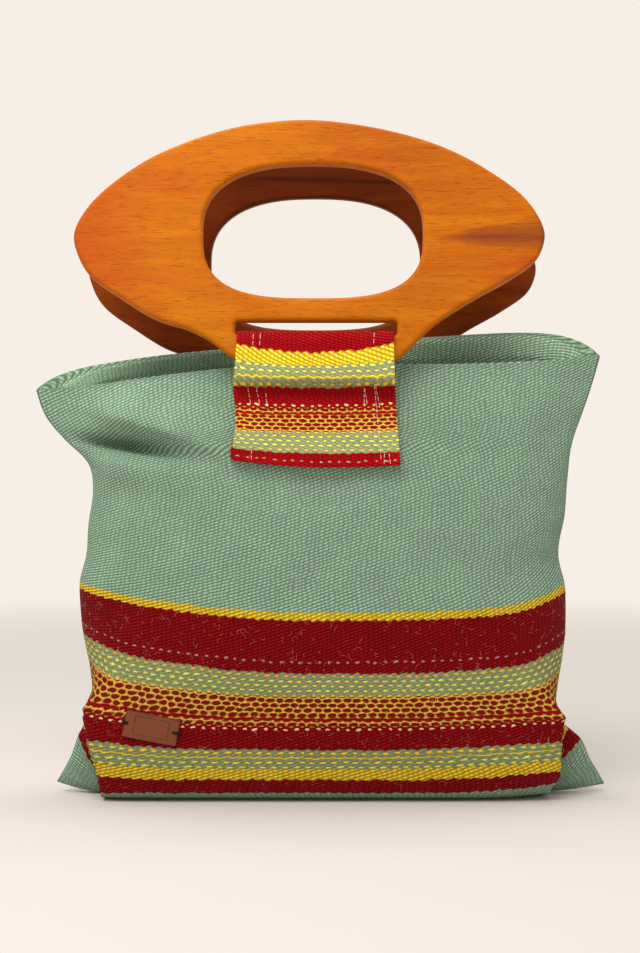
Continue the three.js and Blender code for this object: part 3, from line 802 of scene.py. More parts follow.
# the layer behind it peeps out beside its lower left
BACK_EDGES = np.array([(0, -51.0, 48.5), (10, -51.8, 48.5), (24, -48.4, 48.0), (90, -47.0, 47.0)])
# height over the strap's lower edge, and the place in the border's cloth that shows there
BORDER_AT = np.array([
    (-4, 128), (0, 123.9), (3.1, 120.3), (8.4, 113.1), (23.1, 98.8), (37.7, 81.0),
    (49.8, 67.2), (65.3, 55.7), (74.8, 48.7), (82.5, 39), (300, -178),
])


def leaned(handle, out, up):
    sine, cosine = math.sin(handle["lean"]), math.cos(handle["lean"])
    return handle["depth"] + out * cosine - up * sine, handle["height"] + up * cosine + out * sine


def strap_path(handle):
    """Rows of (kind, out, height): on the cloth 'out' is the lift over it, else the depth."""
    seat, low = handle["height"], handle["height"] - STRAP_DROP
    on_bar = PLATE / 2 + STRAP_GAP + STRAP_WALL / 2
    top = BAR + STRAP_GAP + STRAP_WALL / 2
    lift_in, lift_out = 0.35 + STRAP_WALL / 2, 0.7 + 1.5 * STRAP_WALL
    up_the_bar = (3.0, 9.0, 16.0, BAR - 3.0)
    outer = [(lift_out, z) for z in np.linspace(low, seat - 9.5, 8)]
    outer[6] = (lift_out + 1.6, outer[6][1])
    outer.append((lift_out + 0.3, seat - 5.2))
    round_bar = [(on_bar - 1.2, -1.6), *((on_bar, up) for up in up_the_bar)]
    round_bar += [(on_bar - 2.2, top - 0.8), (2.4, top), (-2.4, top), (2.2 - on_bar, top - 0.8)]
    round_bar += [(-on_bar, up) for up in up_the_bar[::-1]]
    return [
        *(("cloth", *place) for place in outer),
        *(("bar", *leaned(handle, *place)) for place in round_bar),
        *(("cloth", lift_in, z) for z in np.linspace(seat - 5.0, low + 5.0, 7)),
    ]


def spread(knots, step):
    """The path as points a step apart, on a smooth curve through its knots."""
    line = smooth_line(knots, 10)
    run = run_along(line[:, :2])
    at = np.linspace(0, run[-1], int(run[-1] / step) + 1)
    return points_at(at, run, line), at


# %% [markdown]
# The visible end isn't cut straight: it hangs lowest in the middle, its right corner curls up,
# and in the slot the cloth's stripes sag. Those small things are functions of the place on the
# strap, so the stripes, which follow the strap's own measure, bend with them.

# %% Make a strap
STRAP_COLUMNS = 64
SMALL_STEP = 1.25
END_ZONE = 26
CORNER_RISES = (4.2, 1.4)  # of the shown end's corners, over its middle
CURL, CURL_FROM = 2.4, 0.86
SHOWN_WIDTH = 47.5 / 0.905  # of the cloth's own measure, on half the strap


def strap_marks(a, up):
    """The place in the border's cloth: the stripes sag between the edges, most in the slot."""
    sag = (1 - a * a) * (1.2 + 4.0 * ease((up - 52) / 14)) * ease((up - 12) / 12)
    return a * SHOWN_WIDTH, np.interp(up + sag, BORDER_AT[:, 0], BORDER_AT[:, 1])


def strap_sheet(name):
    handle, strap_x = HANDLES[name], STRAP_X[name]
    side = handle["side"]
    knots = []
    for kind, out, height in strap_path(handle):
        on_cloth = kind == "cloth"
        depth = cloth_out(strap_x, height, side) + out if on_cloth else out
        knots.append((depth, height, float(on_cloth), out if on_cloth else 0.0))
    path, run = spread(np.array(knots), SMALL_STEP)
    top, low = int(np.argmax(path[:, 1])), path[0, 1]
    grid, uv = [], []
    for j, ((depth, height, hug, lift), w) in enumerate(zip(path, run)):
        edges = EDGES if j <= top else BACK_EDGES
        left, right = (np.interp(height - low, edges[:, 0], edges[:, k]) for k in (1, 2))
        up = height - low if j <= top else path[top, 1] - low + w - run[top]
        hug, near_end = ease(hug), ease(1 - w / END_ZONE)
        far_end = ease(1 - (run[-1] - w) / END_ZONE)
        grid.append([])
        uv.append([])
        for share in np.arange(STRAP_COLUMNS + 1) / STRAP_COLUMNS:
            a = 2 * share - 1
            lop = side * -a
            x = strap_x + (left if side < 0 else -right) + (right - left) * share
            rise = CORNER_RISES[0] * max(0, -lop) ** 1.5 + CORNER_RISES[1] * max(0, lop) ** 3
            z = height + near_end * rise
            out = depth
            if hug > 0:
                out = lerp(depth, cloth_out(x, z, side) + lift, hug)
            curl = max(0, lop - CURL_FROM) / (1 - CURL_FROM)
            out += CURL * curl ** 2 * ease(1 - w / 9)
            ripple = noise.noise(Vector((x / 17, w / 12, 5.0 * side)))
            out += (0.35 + 0.5 * ripple) * near_end + 0.3 * ripple * hug * (1 - far_end)
            grid[-1].append((x, side * out, z))
            uv[-1].append(strap_marks(a, up))
    grid = np.array(grid) - MIDDLE
    index = np.arange(grid[:, :, 0].size).reshape(grid.shape[:2])
    faces = [face for rows in zip(index, index[1:]) for face in quads(*rows, turned=side > 0)]
    piece = new_mesh(f"{name}_woven_strap", grid.reshape(-1, 3), faces, np.array(uv).reshape(-1, 2))
    apply_modifier(piece, "SOLIDIFY", thickness=STRAP_WALL * MM, offset=0.0, use_even_offset=True)
    apply_modifier(piece, "BEVEL", width=0.7 * MM, segments=3, limit_method="ANGLE",
                   angle_limit=math.radians(60))
    smooth(piece, 50)
    print(piece.name, triangles(piece), "triangles, strip", round(run[-1]), "mm long")
    return piece, grid, run[-1]


front_strap, front_grid, strap_run = strap_sheet("front")
back_strap, back_grid, _ = strap_sheet("back")

# %% [markdown]
# ## Threads
#
# Threads and stray hairs are thin round strands. A strand is a line of points with a ring of a
# few corners round each of them, which turns with the line, and its ends closed. So many
# strands still make a light mesh.

# %% Strands as thin tubes
def strand(points, radius, corners=5):
    """Ring points and faces of a closed tube along the points, in millimetres."""
    points = np.asarray(points, float)
    along = np.gradient(points, axis=0)
    along /= np.maximum(1e-9, np.linalg.norm(along, axis=1, keepdims=True))
    helper = np.where(np.abs(along[:, :1]) > 0.9, (0.0, 0.0, 1.0), (1.0, 0.0, 0.0))
    across = np.cross(along, helper)
    across /= np.linalg.norm(across, axis=1, keepdims=True)
    third = np.cross(along, across)
    turns = math.tau * np.arange(corners) / corners
    rings = [p + radius * (math.cos(t) * a + math.sin(t) * b)
             for p, a, b in zip(points, across, third) for t in turns]
    index = np.arange(len(rings)).reshape(-1, corners)
    wrapped = np.hstack([index, index[:, :1]])
    sides = [face for rows in zip(wrapped, wrapped[1:]) for face in quads(*rows)]
    return rings, [tuple(index[0][::-1]), *sides, tuple(index[-1])]


def strands(name, lines, radius, corners=5, marks=None):
    """One mesh of many strands; marks holds a place in the cloth for each of them."""
    points, faces, uv = [], [], []
    for k, line in enumerate(lines):
        rings, closed = strand(line, radius, corners)
        faces += [tuple(index + len(points) for index in face) for face in closed]
        points += rings
        uv += [marks[k] if marks is not None else (0.0, 0.0)] * len(rings)
    piece = new_mesh(name, points, faces, uv)
    smooth(piece)
    print(name, len(lines), "strands,", triangles(piece), "triangles")
    return piece


# %% [markdown]
# The straps are sewn with pale thread. Machine stitches lie on the cloth and dip into it at
# their ends, so a seam is a row of short strands, each a low arch over the strap's face.

# %% Stitches on the straps
# share across the strap, from and to above its lower edge, and the lean over that run in mm
SEAMS = [
    (0.105, 73, 84, 0.0), (0.148, 73, 83, 0.5), (0.87, 74, 83, 0.6),
    (0.1, 38, 51, -0.8), (0.155, 38, 51, -1.2), (0.2, 38, 44, 0.0),
    (0.802, 38, 51, 1.0), (0.82, 38, 51, -1.2), (0.888, 4, 51, -1.6), (0.898, 36, 51, -2.0),
    (0.11, 1.5, 11, 0.4), (0.905, 1, 9, 0.6), (0.945, 1, 8, -0.8),
]


def strap_face(grid, side):
    """A function that gives the strap's outer face at a share across and a height over its edge."""
    middle = grid[:, STRAP_COLUMNS // 2, 2]
    last = int(np.argmax(middle)) - 3
    normals = grid_normals(grid[:last + 1], side)
    heights = middle[:last + 1] - middle[0]

    def face(share, up, lift):
        j, i = float(np.interp(up, heights, np.arange(last + 1))), share * STRAP_COLUMNS
        j0, i0 = min(int(j), last - 1), min(int(i), STRAP_COLUMNS - 1)
        t, s = j - j0, i - i0
        weights = ((1 - t) * (1 - s), (1 - t) * s, t * (1 - s), t * s)
        corners = ((j0, i0), (j0, i0 + 1), (j0 + 1, i0), (j0 + 1, i0 + 1))
        point, normal = (sum(w * of[c] for w, c in zip(weights, corners)) for of in (grid, normals))
        return point + normal / np.linalg.norm(normal) * (STRAP_WALL / 2 + lift)

    return face


def stitch_lines(face, stitch=2.9, gap=0.7):
    lines = []
    for share, low, high, lean in SEAMS:
        start = low
        while start + stitch <= high + 0.5:
            arch = []
            for t in np.linspace(0, 1, 6):
                up = start + stitch * t
                shift = lean * (up - low) / (high - low) / SLOT_LENGTH
                arch.append(face(share + shift, up, -0.25 + 0.5 * math.sin(math.pi * t) ** 0.6))
            lines.append(arch)
            start += stitch + gap
    return lines


strap_seams = [
    strands(f"{name}_strap_stitches", stitch_lines(strap_face(grid, HANDLES[name]["side"])), 0.18)
    for name, grid in (("front", front_grid), ("back", back_grid))
]

# %% [markdown]
# ## The label
#
# The label is a small plate of vegetable leather, cut with rounded corners and sewn on with one
# black stitch at each end. It lies on the smoothest curved sheet that clears the cloth under
# it, found from rays at many places. It stays bare, as the real one's mark isn't copied.

# %% Lay the label on the cloth
LABEL_X, LABEL_Z, LABEL_TURN = -101.0, 46.0, math.radians(-10.6)
LABEL_LENGTH, LABEL_WIDTH, LABEL_THICK = 33.0, 16.0, 1.6
LABEL_HOLES = ((-14.4, 0.3), (13.4, -0.2))


def label_place(a, b):
    x = LABEL_X + a * math.cos(LABEL_TURN) - b * math.sin(LABEL_TURN)
    return x, LABEL_Z + a * math.sin(LABEL_TURN) + b * math.cos(LABEL_TURN)


probes = [(a, b) for a in np.linspace(-17, 17, 15) for b in np.linspace(-8.5, 8.5, 9)]
terms = np.array([(1, a, b, a * a, a * b) for a, b in probes])
found = np.array([cloth_out(*label_place(a, b), -1) for a, b in probes])
bend = np.linalg.lstsq(terms, found, rcond=None)[0]
clear = float(np.max(found - terms @ bend))
print(f"the cloth stands {clear:.2f} mm over the sheet that the label follows")


def label_point(a, b, lift):
    """A place on the label, or that far over its underside, in the row frame."""
    x, z = label_place(a, b)
    under = float(np.dot((1, a, b, a * a, a * b), bend)) + min(clear, 0.9) + 0.05
    return np.array([x, -(under + lift), z]) - MIDDLE


# %% [markdown]
# A cube is scaled to the plate and its upright corners are bevelled. Small round holes are cut
# by a boolean, all edges are broken, and cuts across let the plate bend onto the sheet.

# %% Model the label
bpy.ops.object.select_all(action="DESELECT")
bpy.ops.mesh.primitive_cube_add(size=1)
label = bpy.context.active_object
label.name = label.data.name = "label_plate"
label.scale = (LABEL_LENGTH * MM, LABEL_THICK * MM, LABEL_WIDTH * MM)
bpy.ops.object.transform_apply(location=True, rotation=True, scale=True)
with edit_mode(label):
    bpy.ops.mesh.select_mode(type="EDGE")
    bpy.ops.mesh.select_all(action="DESELECT")
for edge in label.data.edges:
    first, second = (label.data.vertices[k].co for k in edge.vertices)
    edge.select = abs(first.y - second.y) > 1 * MM
with edit_mode(label):
    bpy.ops.mesh.bevel(offset=1.3 * MM, segments=5, affect="EDGES")
for a, b in LABEL_HOLES:
    bpy.ops.mesh.primitive_cylinder_add(vertices=16, radius=0.62 * MM, depth=6 * MM,
                                        location=(a * MM, 0, b * MM), rotation=(math.pi / 2, 0, 0))
    punch = bpy.context.active_object
    apply_modifier(label, "BOOLEAN", operation="DIFFERENCE", object=punch, solver="EXACT")
    bpy.data.objects.remove(punch)
apply_modifier(label, "BEVEL", width=0.3 * MM, segments=2, limit_method="ANGLE",
               angle_limit=math.radians(50))
with edit_mode(label):
    for cut in np.linspace(-15, 15, 11):
        bpy.ops.mesh.select_all(action="SELECT")
        bpy.ops.mesh.bisect(plane_co=(cut * MM, 0, 0), plane_no=(1, 0, 0))
for vertex in label.data.vertices:
    a, lift, b = (value / MM for value in vertex.co)
    vertex.co = label_point(a, b, LABEL_THICK / 2 - lift) * MM
smooth(label, 35)
apply_modifier(label, "WEIGHTED_NORMAL", keep_sharp=True, weight=100)
print("label_plate", triangles(label), "triangles")

# %% [markdown]
# Each stitch is three strands of waxed black thread, side by side. They come up through a hole,
# run over the end of the plate and go down into the cloth.

# %% Two black stitches hold it
def label_stitch(a, b, shift):
    """One strand, from the hole at a, b over the nearer end."""
    end, face = math.copysign(1, a), LABEL_THICK + 0.25
    edge = end * LABEL_LENGTH / 2
    route = [
        (a, face - 1.2), (a + 0.15 * end, face - 0.1), (a + 0.8 * end, face + 0.2),
        (edge - 0.3 * end, face + 0.15), (edge + 0.45 * end, face - 0.35),
        (edge + 1.1 * end, 0.5), (edge + 1.5 * end, -0.8),
    ]
    steps = b + shift * (0.4 + 1.2 * np.arange(len(route)) / len(route))
    return [label_point(along, step, lift) for (along, lift), step in zip(route, steps)]


label_lines = [label_stitch(a, b, shift) for a, b in LABEL_HOLES for shift in (-0.7, 0.0, 0.75)]
label_thread = strands("label_stitches", label_lines, 0.3, corners=6)

# %% [markdown]
# ## Stray wool
#
# Handspun wool is hairy: fine pale fibres stand off the yarn and catch the light, most of all
# on the dark red. About two thousand short curved strands of three corners each do that. They
# start on the cloth's outer face, and run nearly along it.

# %% Stray hairs
dice = np.random.default_rng(7)

# how many hairs, and from where to where up the cloth
HAIR_ZONES = ((420, 100, 150), (170, 66, 82), (110, 36, 50), (120, 50, 100), (260, 150, 290))
HAIR_POINTS = 6
MARGIN = 6  # columns and rows at the grid's edge that grow no hair


def hair_line(place, normal, tangent):
    tangent = tangent / np.linalg.norm(tangent)
    upward = np.cross(normal, tangent)
    heading, turn = dice.uniform(0, math.tau), dice.normal(0, 0.55)
    step, rise = dice.uniform(0.35, 0.95), dice.uniform(0.12, 0.55)
    place, line = place + normal * 0.12, []
    for k in range(HAIR_POINTS):
        line.append(place + normal * rise * math.sin(math.pi * k / (HAIR_POINTS - 1)))
        place = place + step * (math.cos(heading) * tangent + math.sin(heading) * upward)
        heading += turn
    return line


hair_lines, hair_marks = [], []
for side in (-1, 1):
    grid = grids[side]["outer"] - MIDDLE
    normals = grid_normals(grid, side)
    for count, low, high in HAIR_ZONES:
        rows = np.where((row_runs >= low) & (row_runs <= high))[0]
        wanted = len(hair_lines) + count
        while len(hair_lines) < wanted:
            j, i = int(dice.choice(rows)), int(dice.integers(MARGIN, COLUMNS + 1 - MARGIN))
            if 4 < j < ROWS + 1 - MARGIN:
                hair_lines.append(hair_line(grid[j, i], normals[j, i], grid[j, i + 1] - grid[j, i]))
                hair_marks.append((grids[side]["u"][j, i], row_runs[j]))
hairs = strands("stray_wool", hair_lines, 0.075, corners=3, marks=hair_marks)

# %% [markdown]
# ## The weave
#
# The cloth is woven in picks 2.87 mm apart, and everything in its border is one lattice of
# short floats, 5.8 mm apart and set off by half in every other pick. What changes from pick to
# pick is the float's colour and size and the colour round it. So three colour ramps along the
# cloth hold the whole design, and plain bands show the slanting twill beads between.

# %% The border's design
PICK = 2.87
FIRST_PICK = 100.2
REPEAT = 5.8
DESIGN_LENGTH = 300.0

GREEN = srgb(145, 176, 149)
GREY_GREEN = srgb(134, 145, 103)
RED = srgb(130, 2, 10)
DEEP_RED = srgb(112, 10, 4)
YELLOW = srgb(222, 186, 44)
PALE_YELLOW = srgb(212, 204, 88)
ORANGE_YELLOW = srgb(208, 166, 64)
CREAM = srgb(206, 186, 124)
GREY_BEIGE = srgb(158, 140, 130)
# painted light: a lighter red for the straps, which catch more light than the body
LIT_STRAP_RED = srgb(146, 4, 12)

# from, ground, float, half length and half height of the float, raised (1) or sunken (0)
DESIGN = [
    (0, GREEN, GREEN, 0, 0, 1),
    (39, RED, RED, 0, 0, 1),
    (48.7, YELLOW, YELLOW, 0, 0, 1),
    (55.7, GREY_GREEN, PALE_YELLOW, 1.85, 0.72, 1),
    (61.5, GREY_GREEN, YELLOW, 4.5, 0.5, 1),
    (64.3, GREY_GREEN, YELLOW, 1.75, 0.85, 1),
    (67.2, RED, RED, 0, 0, 1),
    (78.7, RED, CREAM, 1.2, 0.9, 1),
    (81.5, ORANGE_YELLOW, DEEP_RED, 2.5, 1.2, 0),
    (84.4, ORANGE_YELLOW, RED, 4.5, 1.3, 0),
    (87.3, ORANGE_YELLOW, DEEP_RED, 2.5, 1.2, 0),
    (98.8, GREY_GREEN, ORANGE_YELLOW, 1.6, 0.9, 1),
    (101.6, GREY_GREEN, PALE_YELLOW, 1.85, 0.72, 1),
    (110.2, GREY_GREEN, ORANGE_YELLOW, 1.75, 0.85, 1),
    (113.1, RED, RED, 0, 0, 1),
    (118.9, RED, GREY_BEIGE, 1.15, 0.62, 1),
    (121.7, RED, RED, 0, 0, 1),
    (145, YELLOW, YELLOW, 0, 0, 1),
    (150, GREEN, GREEN, 0, 0, 1),
]
MOST_LENGTH, MOST_HEIGHT = 5, 2  # a ramp holds sizes as shares of these

# the straps are cut where red runs on past the yellow line
STRAP_DESIGN = [
    tuple(LIT_STRAP_RED if entry is RED else entry for entry in row)
    for row in [(0, RED, RED, 0, 0, 1), *DESIGN[2:]]
]

# twill: slanting ridges about 2 mm apart, with a bead about every 3 mm along them, each ridge's
# beads shifted against the last one's
SLANT, RIDGE_REPEAT, BEAD_REPEAT, BEAD_SHIFT = 2.85, 5.7, 9.12, 1.781


def woven_material(name, design, painted_light_gain=1.0):
    paint = Paint(name)
    flat = {0: paint.cloth_place(), 1: (1.0, 1.0, 0.0)}
    place = paint.node("ShaderNodeVectorMath", {"operation": "MULTIPLY"}, flat)
    wander = paint.grain(place, 0.11, detail=1.0)
    fine = paint.grain(place, 0.55, detail=2.0)
    u, v, _ = paint.split(place)
    u = u + (wander - 0.5) * 4.0 + (fine - 0.5) * 2.1
    v = v + (wander - 0.5) * 2.2 + (fine - 0.5) * 1.1

    # the design's place, with teeth where two bands of colour meet
    tooth = (u / REPEAT).wave() * 0.9 - 0.45
    along = (v + tooth) / DESIGN_LENGTH
    even = v / DESIGN_LENGTH
    starts = [row[0] / DESIGN_LENGTH for row in design]
    packed = [(length / MOST_LENGTH, height / MOST_HEIGHT, up) for *_, length, height, up in design]
    ground = paint.steps(along, zip(starts, [row[1] for row in design]))
    float_colour = paint.steps(even, zip(starts, [row[2] for row in design]))
    half_length, half_height, raised = paint.split(paint.steps(even, zip(starts, packed)))

    # the float of this pick: reach is 0 in its middle and 1 at its edge
    pick = ((v - FIRST_PICK) / PICK).round()
    down = v - FIRST_PICK - pick * PICK
    turn = u / REPEAT + 0.5 * (pick % 2.0)
    across = (turn - turn.round()) * REPEAT
    sway = 0.3 * (half_length * MOST_LENGTH - 3.5).clamped()
    down = down + sway * ((turn * math.tau).cos())
    reach = (across / (half_length * MOST_LENGTH + 0.001)).abs() ** 2.0
    reach = reach + (down / (half_height * MOST_HEIGHT + 0.001)).abs() ** 2.0
    shown = ((1.1 - reach) * 4.0).clamped()
    dome = (1.0 - reach).clamped() ** 0.5
    sunken = 1.0 - raised
    net = reach.between(0.9, 1.9) * sunken

    # slanting twill beads
    line = (u - SLANT * v) / RIDGE_REPEAT
    number = line.round()
    ridge = (line * math.tau).cos() * 0.5 + 0.5
    run = (SLANT * u + v) / BEAD_REPEAT - BEAD_SHIFT * number
    bead = ridge ** 0.8 * (0.35 + 0.65 * run.wave())
    fibre = paint.grain(place, 3.2, detail=3.0, rough=0.7)

    # the border's ground is calmer than the plain bands; sunken floats lie in a raised net
    calm = (half_length * MOST_LENGTH).clamped() * 0.6
    plain = (bead * 0.66 + fibre * 0.34) * (1.0 - calm) + 0.42 * calm
    relief = raised * (0.7 + 0.9 * dome) + sunken * (0.45 - 0.5 * dome)
    height = plain * (1.0 - shown) + shown * relief + 0.5 * net
    # painted light and shade of the weave's relief: bead crowns, float domes and the raised net are
    # drawn lighter, the ground round sunken floats darker
    light = (0.1 + 1.58 * plain) * (1.0 - 0.45 * sunken) + net * 0.55 + sunken * 0.12
    light = light * (1.0 - shown) + shown * (0.66 + 0.4 * dome)

    # slow changes of tone, and painted light on the shaded inner face near the rim
    mottle = paint.grain(place, 0.045, detail=3.0)
    inner = paint.node("ShaderNodeAttribute", {"attribute_name": "inside"}, out=2)
    blotch = paint.grain(place, 0.2, detail=2.0)
    light = light * (0.78 + 0.28 * mottle + 0.16 * blotch) * (1.0 + 0.7 * inner) * painted_light_gain
    looks = {"Roughness": 0.95, "Sheen Weight": 0.04, "Sheen Roughness": 0.5,
             "Specular IOR Level": 0.06}
    looks["Base Color"] = paint.shaded(paint.mix(shown, ground, float_colour), light)
    return paint.finish(looks, height, 0.9 * MM)


cloth_paint = woven_material("woven_wool", DESIGN)
# painted light: the straps are drawn 1.55 times brighter than the body's cloth
strap_paint = woven_material("woven_wool_strap", STRAP_DESIGN, painted_light_gain=1.55)
cloth.data.materials.append(cloth_paint)
front_strap.data.materials.append(strap_paint)
back_strap.data.materials.append(strap_paint)
print("weave nodes", len(cloth_paint.node_tree.nodes))

# %% [markdown]
# ## The wood
#
# Oiled hardwood has long level grain with fine dark pores, slow changes of tone, and a darker
# streak where the heartwood runs in. The grain reads the place in space, stretched along the
# plate's length, so faces, edges and the hand hole all show one piece of wood.

# %% Oiled hardwood
SHADED = (0.345, 0.385)  # heights between which the back plate's inner face darkens


def wood_material(name, tones, streak, tips, outer=None):
    """Tones: light, middle, pores, the streak and the tips. Streak: x, z, slope, half width at
    its start, growth, from x, to x. Tips: from x, to x. Outer: y, z, lean and two tones."""
    light, mid, pore, streak_tone, tip_tone = tones
    paint = Paint(name)
    place = paint.object_place()
    x, y, z = paint.split(place)
    rings = paint.grain(paint.stretched(place, (2.2, 16.0, 26.0)), 5.0, 5.0, 0.55, 0.5)
    fibres = paint.grain(paint.stretched(place, (5.0, 110.0, 150.0)), 8.0, 2.0, 0.6)
    hair = paint.grain(paint.stretched(place, (14.0, 150.0, 230.0)), 9.0, 2.0, 0.6)
    pores = 1.0 - hair.between(0.3, 0.44)
    slow = paint.grain(place, 11.0)
    body = paint.mix(rings.between(0.3, 0.7) * 0.55 + slow.between(0.3, 0.7) * 0.45, mid, light)

    # ruddy and amber patches, and redder tips where the plate was handled
    patches = paint.stretched(place, (1.0, 1.5, 2.2))
    ruddy = paint.grain(patches, 14.0, 4.0, 0.6, 0.6).between(0.5, 0.72)
    body = paint.mix(ruddy * 0.6, body, tip_tone)
    amber = paint.grain(patches, 9.0, 3.0, 0.6).between(0.52, 0.7)
    body = paint.mix(amber * 0.3, body, light)
    body = paint.mix((-x).between(*tips) * 0.75, body, tip_tone)

    # the dark streak
    from_x, from_z, slope, half, growth, start, stop = streak
    middle = from_z + (x - from_x) * slope
    widened = half + (x - from_x).at_least(0.0) * growth
    band = ((z - middle) / widened + (rings - 0.5) * 1.4).abs()
    ends = x.between(start, start + 0.02) * (1.0 - x.between(stop - 0.01, stop))
    body = paint.mix((1.0 - band).clamped() ** 0.7 * ends * 0.8, body, streak_tone)

    # painted shade: the back plate is dark where it faces the front one, darker still between the
    # SHADED heights, and as light as that outside
    if outer:
        body = paint.mix(z.between(*SHADED) * 0.6, body, pore)
        outer_y, outer_z, lean, outer_light, outer_mid = outer
        depth = (y - outer_y + (z - outer_z) * lean) / (PLATE / 2 * MM)
        unshaded = paint.mix(rings.between(0.3, 0.7), outer_mid, outer_light)
        body = paint.mix(depth.between(0.1, 0.95), body, unshaded)
    body = paint.mix(pores * 0.62, body, pore)
    tone = (0.84 + 0.3 * fibres) * (0.88 + 0.12 * z.between(0.262, 0.33))
    looks = {"Roughness": 0.4 + 0.14 * fibres, "Specular IOR Level": 0.07}
    looks["Base Color"] = paint.shaded(body, tone)
    return paint.finish(looks, fibres * 0.5 - pores * 0.6, 0.08 * MM)


front_plate.data.materials.append(wood_material(
    "oiled_wood_front",
    (srgb(208, 120, 12), srgb(168, 78, 4), srgb(106, 40, 5), srgb(112, 42, 24), srgb(176, 66, 12)),
    streak=(0.078, 0.3415, 0.05, 0.0028, 0.2, 0.07, 0.2), tips=(0.095, 0.15)))
# painted shade: the back plate's tones are darker than the front's for its shaded inner face, and
# the two lighter tones at the end are for its outer face
back_plate.data.materials.append(wood_material(
    "oiled_wood_back",
    (srgb(138, 60, 7), srgb(100, 35, 3), srgb(66, 22, 2), srgb(40, 12, 2), srgb(146, 66, 14)),
    streak=(-0.045, 0.387, -0.03, 0.0022, 0.0, -0.05, 0.06), tips=(0.1, 0.15),
    outer=(0.0388, 0.2414, 0.0336, srgb(186, 100, 9), srgb(166, 80, 6))))

# %% [markdown]
# ## Leather and threads
#
# Veg-tanned leather is a warm brown with fine creases and darker burnished edges. A plain line
# is pressed into the label, a little way in from its rim. Threads are matt, with their twist as
# a fine slanting line that is too small to model.

# %% Leather, threads and hairs
PRESSED_LINE, LABEL_RIM = (10.4, 5.4), (15.4, 6.9)  # half lengths and half heights in mm


def leather_material():
    paint = Paint("bare_leather")
    place = paint.object_place()
    centre = Vector(((LABEL_X - MIDDLE[0]) * MM, 0.0, LABEL_Z * MM))
    turned = paint.node("ShaderNodeMapping", {"vector_type": "TEXTURE"}, {
        "Vector": place, "Location": centre, "Rotation": (0.0, -LABEL_TURN, 0.0),
        "Scale": (MM, MM, MM)})
    a, _, b = paint.split(turned)
    line, rim = ((a.abs() - half[0]).at_least(b.abs() - half[1])
                 for half in (PRESSED_LINE, LABEL_RIM))
    pressed = (1.0 - line.abs() / 0.38).clamped()
    creases = paint.grain(place, 900.0, 3.0, 0.6)
    cloudy = paint.grain(place, 90.0)
    body = paint.mix(cloudy, srgb(102, 48, 20), srgb(122, 62, 29))
    dark = (pressed * 0.55 + rim.clamped() * 0.6).clamped()
    looks = {"Roughness": 0.5 + 0.15 * creases, "Specular IOR Level": 0.3}
    looks["Base Color"] = paint.mix(dark, body, srgb(70, 32, 14))
    return paint.finish(looks, creases * 0.25 - pressed, 0.3 * MM)


def thread_material(name, tone):
    paint = Paint(name)
    twist = paint.grain(paint.object_place(), 2600.0, 1.0)
    looks = {"Roughness": 0.85, "Specular IOR Level": 0.2}
    looks["Base Color"] = paint.shaded(tone, 0.75 + 0.5 * twist)
    return paint.finish(looks, twist, 0.05 * MM)


# a stray fibre is a paler sister of the yarn that it stands on
HAIR_TONES = [
    (0, srgb(166, 190, 158)), (39, srgb(190, 96, 92)), (50, srgb(206, 200, 140)),
    (67, srgb(196, 100, 92)), (80, srgb(222, 190, 130)), (113, srgb(200, 118, 108)),
    (146, srgb(170, 194, 162)),
]


def hair_material():
    paint = Paint("stray_fibre")
    _, v, _ = paint.split(paint.cloth_place())
    stops = [(start / DESIGN_LENGTH, tone) for start, tone in HAIR_TONES]
    colour = paint.steps(v / DESIGN_LENGTH, stops)
    return paint.finish({"Base Color": colour, "Roughness": 0.8, "Specular IOR Level": 0.2})


label.data.materials.append(leather_material())
label_thread.data.materials.append(thread_material("black_thread", srgb(30, 24, 22)))
pale_thread = thread_material("pale_thread", srgb(226, 206, 196))
for seam in strap_seams:
    seam.data.materials.append(pale_thread)
hairs.data.materials.append(hair_material())
print("materials", len(bpy.data.materials))

# %% [markdown]
# ## Hand over to the frame
#
# Each piece rides on the one body and stands for the solid that it dresses.

# %% Ride and replace
PARTS = [
    (cloth, "cloth_body", "wool_cloth"),
    (front_plate, "front_handle", "handle_wood"),
    (back_plate, "back_handle", "handle_wood"),
    (front_strap, "front_strap", "strap_cloth"),
    (back_strap, "back_strap", "strap_cloth"),
    (label, "leather_label", "label_leather"),
]
for piece, node, slot in PARTS:
    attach(piece, "root")
    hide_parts(node)
for thread in (*strap_seams, label_thread, hairs):
    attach(thread, "root")

# %% [markdown]
# ## Floor, light and camera
#
# The photograph is a product shot before a pale wall. An open pale floor that glows ever more
# in the wall's colour towards the horizon does the same, and hides the bag from no side.

# %% The pale floor
HORIZON = srgb(247, 239, 229)
FADE_FROM, FADE_TO = 0.3, 1.9  # metres from the bag

bpy.ops.object.select_all(action="DESELECT")
bpy.ops.mesh.primitive_circle_add(vertices=96, radius=9, fill_type="NGON")
floor = bpy.context.active_object
floor.name = floor.data.name = "pale_floor"
floor_paint = Paint("pale_board")
floor_x, floor_y, _ = floor_paint.split(floor_paint.object_place())
far = ((floor_x * floor_x + floor_y * floor_y) ** 0.5).between(FADE_FROM, FADE_TO)
board = floor_paint.mix(far, srgb(206, 200, 196), srgb(0, 0, 0))
glow = floor_paint.mix(far, srgb(0, 0, 0), HORIZON)
floor.data.materials.append(floor_paint.finish(
    {"Base Color": board, "Roughness": 0.9, "Specular IOR Level": 0.0,
     "Emission Color": glow, "Emission Strength": 1.0}))

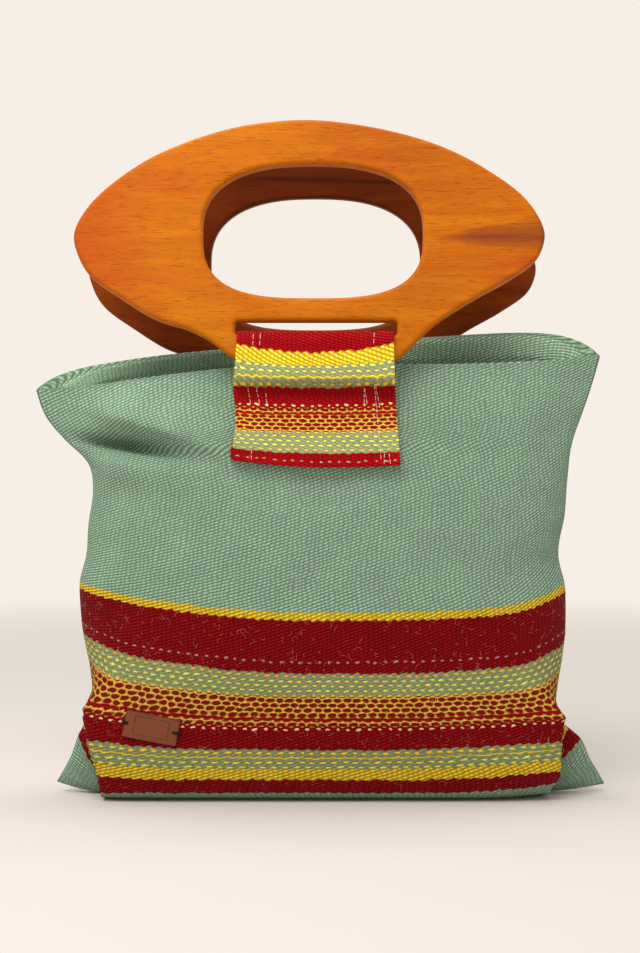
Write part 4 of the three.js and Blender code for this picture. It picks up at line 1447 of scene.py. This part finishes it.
# %% [markdown]
# Three soft lights stand for the studio's: a wide one in front, one above and behind for the
# rims, and a small one that lifts the left side. The world fills in from all around, in the
# wall's colour at the horizon and greyer overhead.

# %% Soft light
LIGHT_COLOUR = (1.0, 0.985, 0.965)


def soft_light(name, place, aim, size, power):
    data = bpy.data.lights.new(name, "AREA")
    data.shape, data.size, data.size_y = "RECTANGLE", *size
    data.energy, data.color = power, LIGHT_COLOUR
    lamp = bpy.data.objects.new(name, data)
    bpy.context.scene.collection.objects.link(lamp)
    lamp.location = place
    lamp.rotation_euler = (Vector(aim) - Vector(place)).to_track_quat("-Z", "Y").to_euler()


soft_light("softbox_front", (-0.3, -1.1, 1.5), (0, 0, 0.2), (1.0, 0.8), 21.5)
soft_light("softbox_above", (0.0, 0.3, 1.7), (0, 0, 0.2), (1.0, 0.6), 13)
soft_light("softbox_left", (-0.8, -0.3, 1.3), (-0.1, 0, 0.22), (0.5, 0.4), 4)
world = bpy.data.worlds.new("tent")
world.use_nodes = True
tent = world.node_tree
direction = tent.nodes.new("ShaderNodeTexCoord")
apart = tent.nodes.new("ShaderNodeSeparateXYZ")
upward = tent.nodes.new("ShaderNodeValToRGB")
tent.links.new(direction.outputs["Generated"], apart.inputs["Vector"])
tent.links.new(apart.outputs["Z"], upward.inputs["Fac"])
tent.links.new(upward.outputs["Color"], tent.nodes["Background"].inputs["Color"])
for stop, height, tone in zip(upward.color_ramp.elements, (0.4, 0.62),
                              (HORIZON, (0.33, 0.322, 0.31, 1.0))):
    stop.position, stop.color = height, tone
bpy.context.scene.world = world
bpy.context.scene.view_settings.view_transform = "Standard"

# %% [markdown]
# The photograph shows no upright lines that lean together, so the camera is level, and it
# stands about 1.2 m in front of the bag.

# %% The camera
camera_data = bpy.data.cameras.new("camera")
camera_data.sensor_width = 36
camera_data.lens = 71.8
camera = bpy.data.objects.new("camera", camera_data)
bpy.context.scene.collection.objects.link(camera)
camera.location = (-0.0001, -1.1845, 0.1965)
camera.rotation_euler = (math.pi / 2, 0, 0)
bpy.context.scene.camera = camera
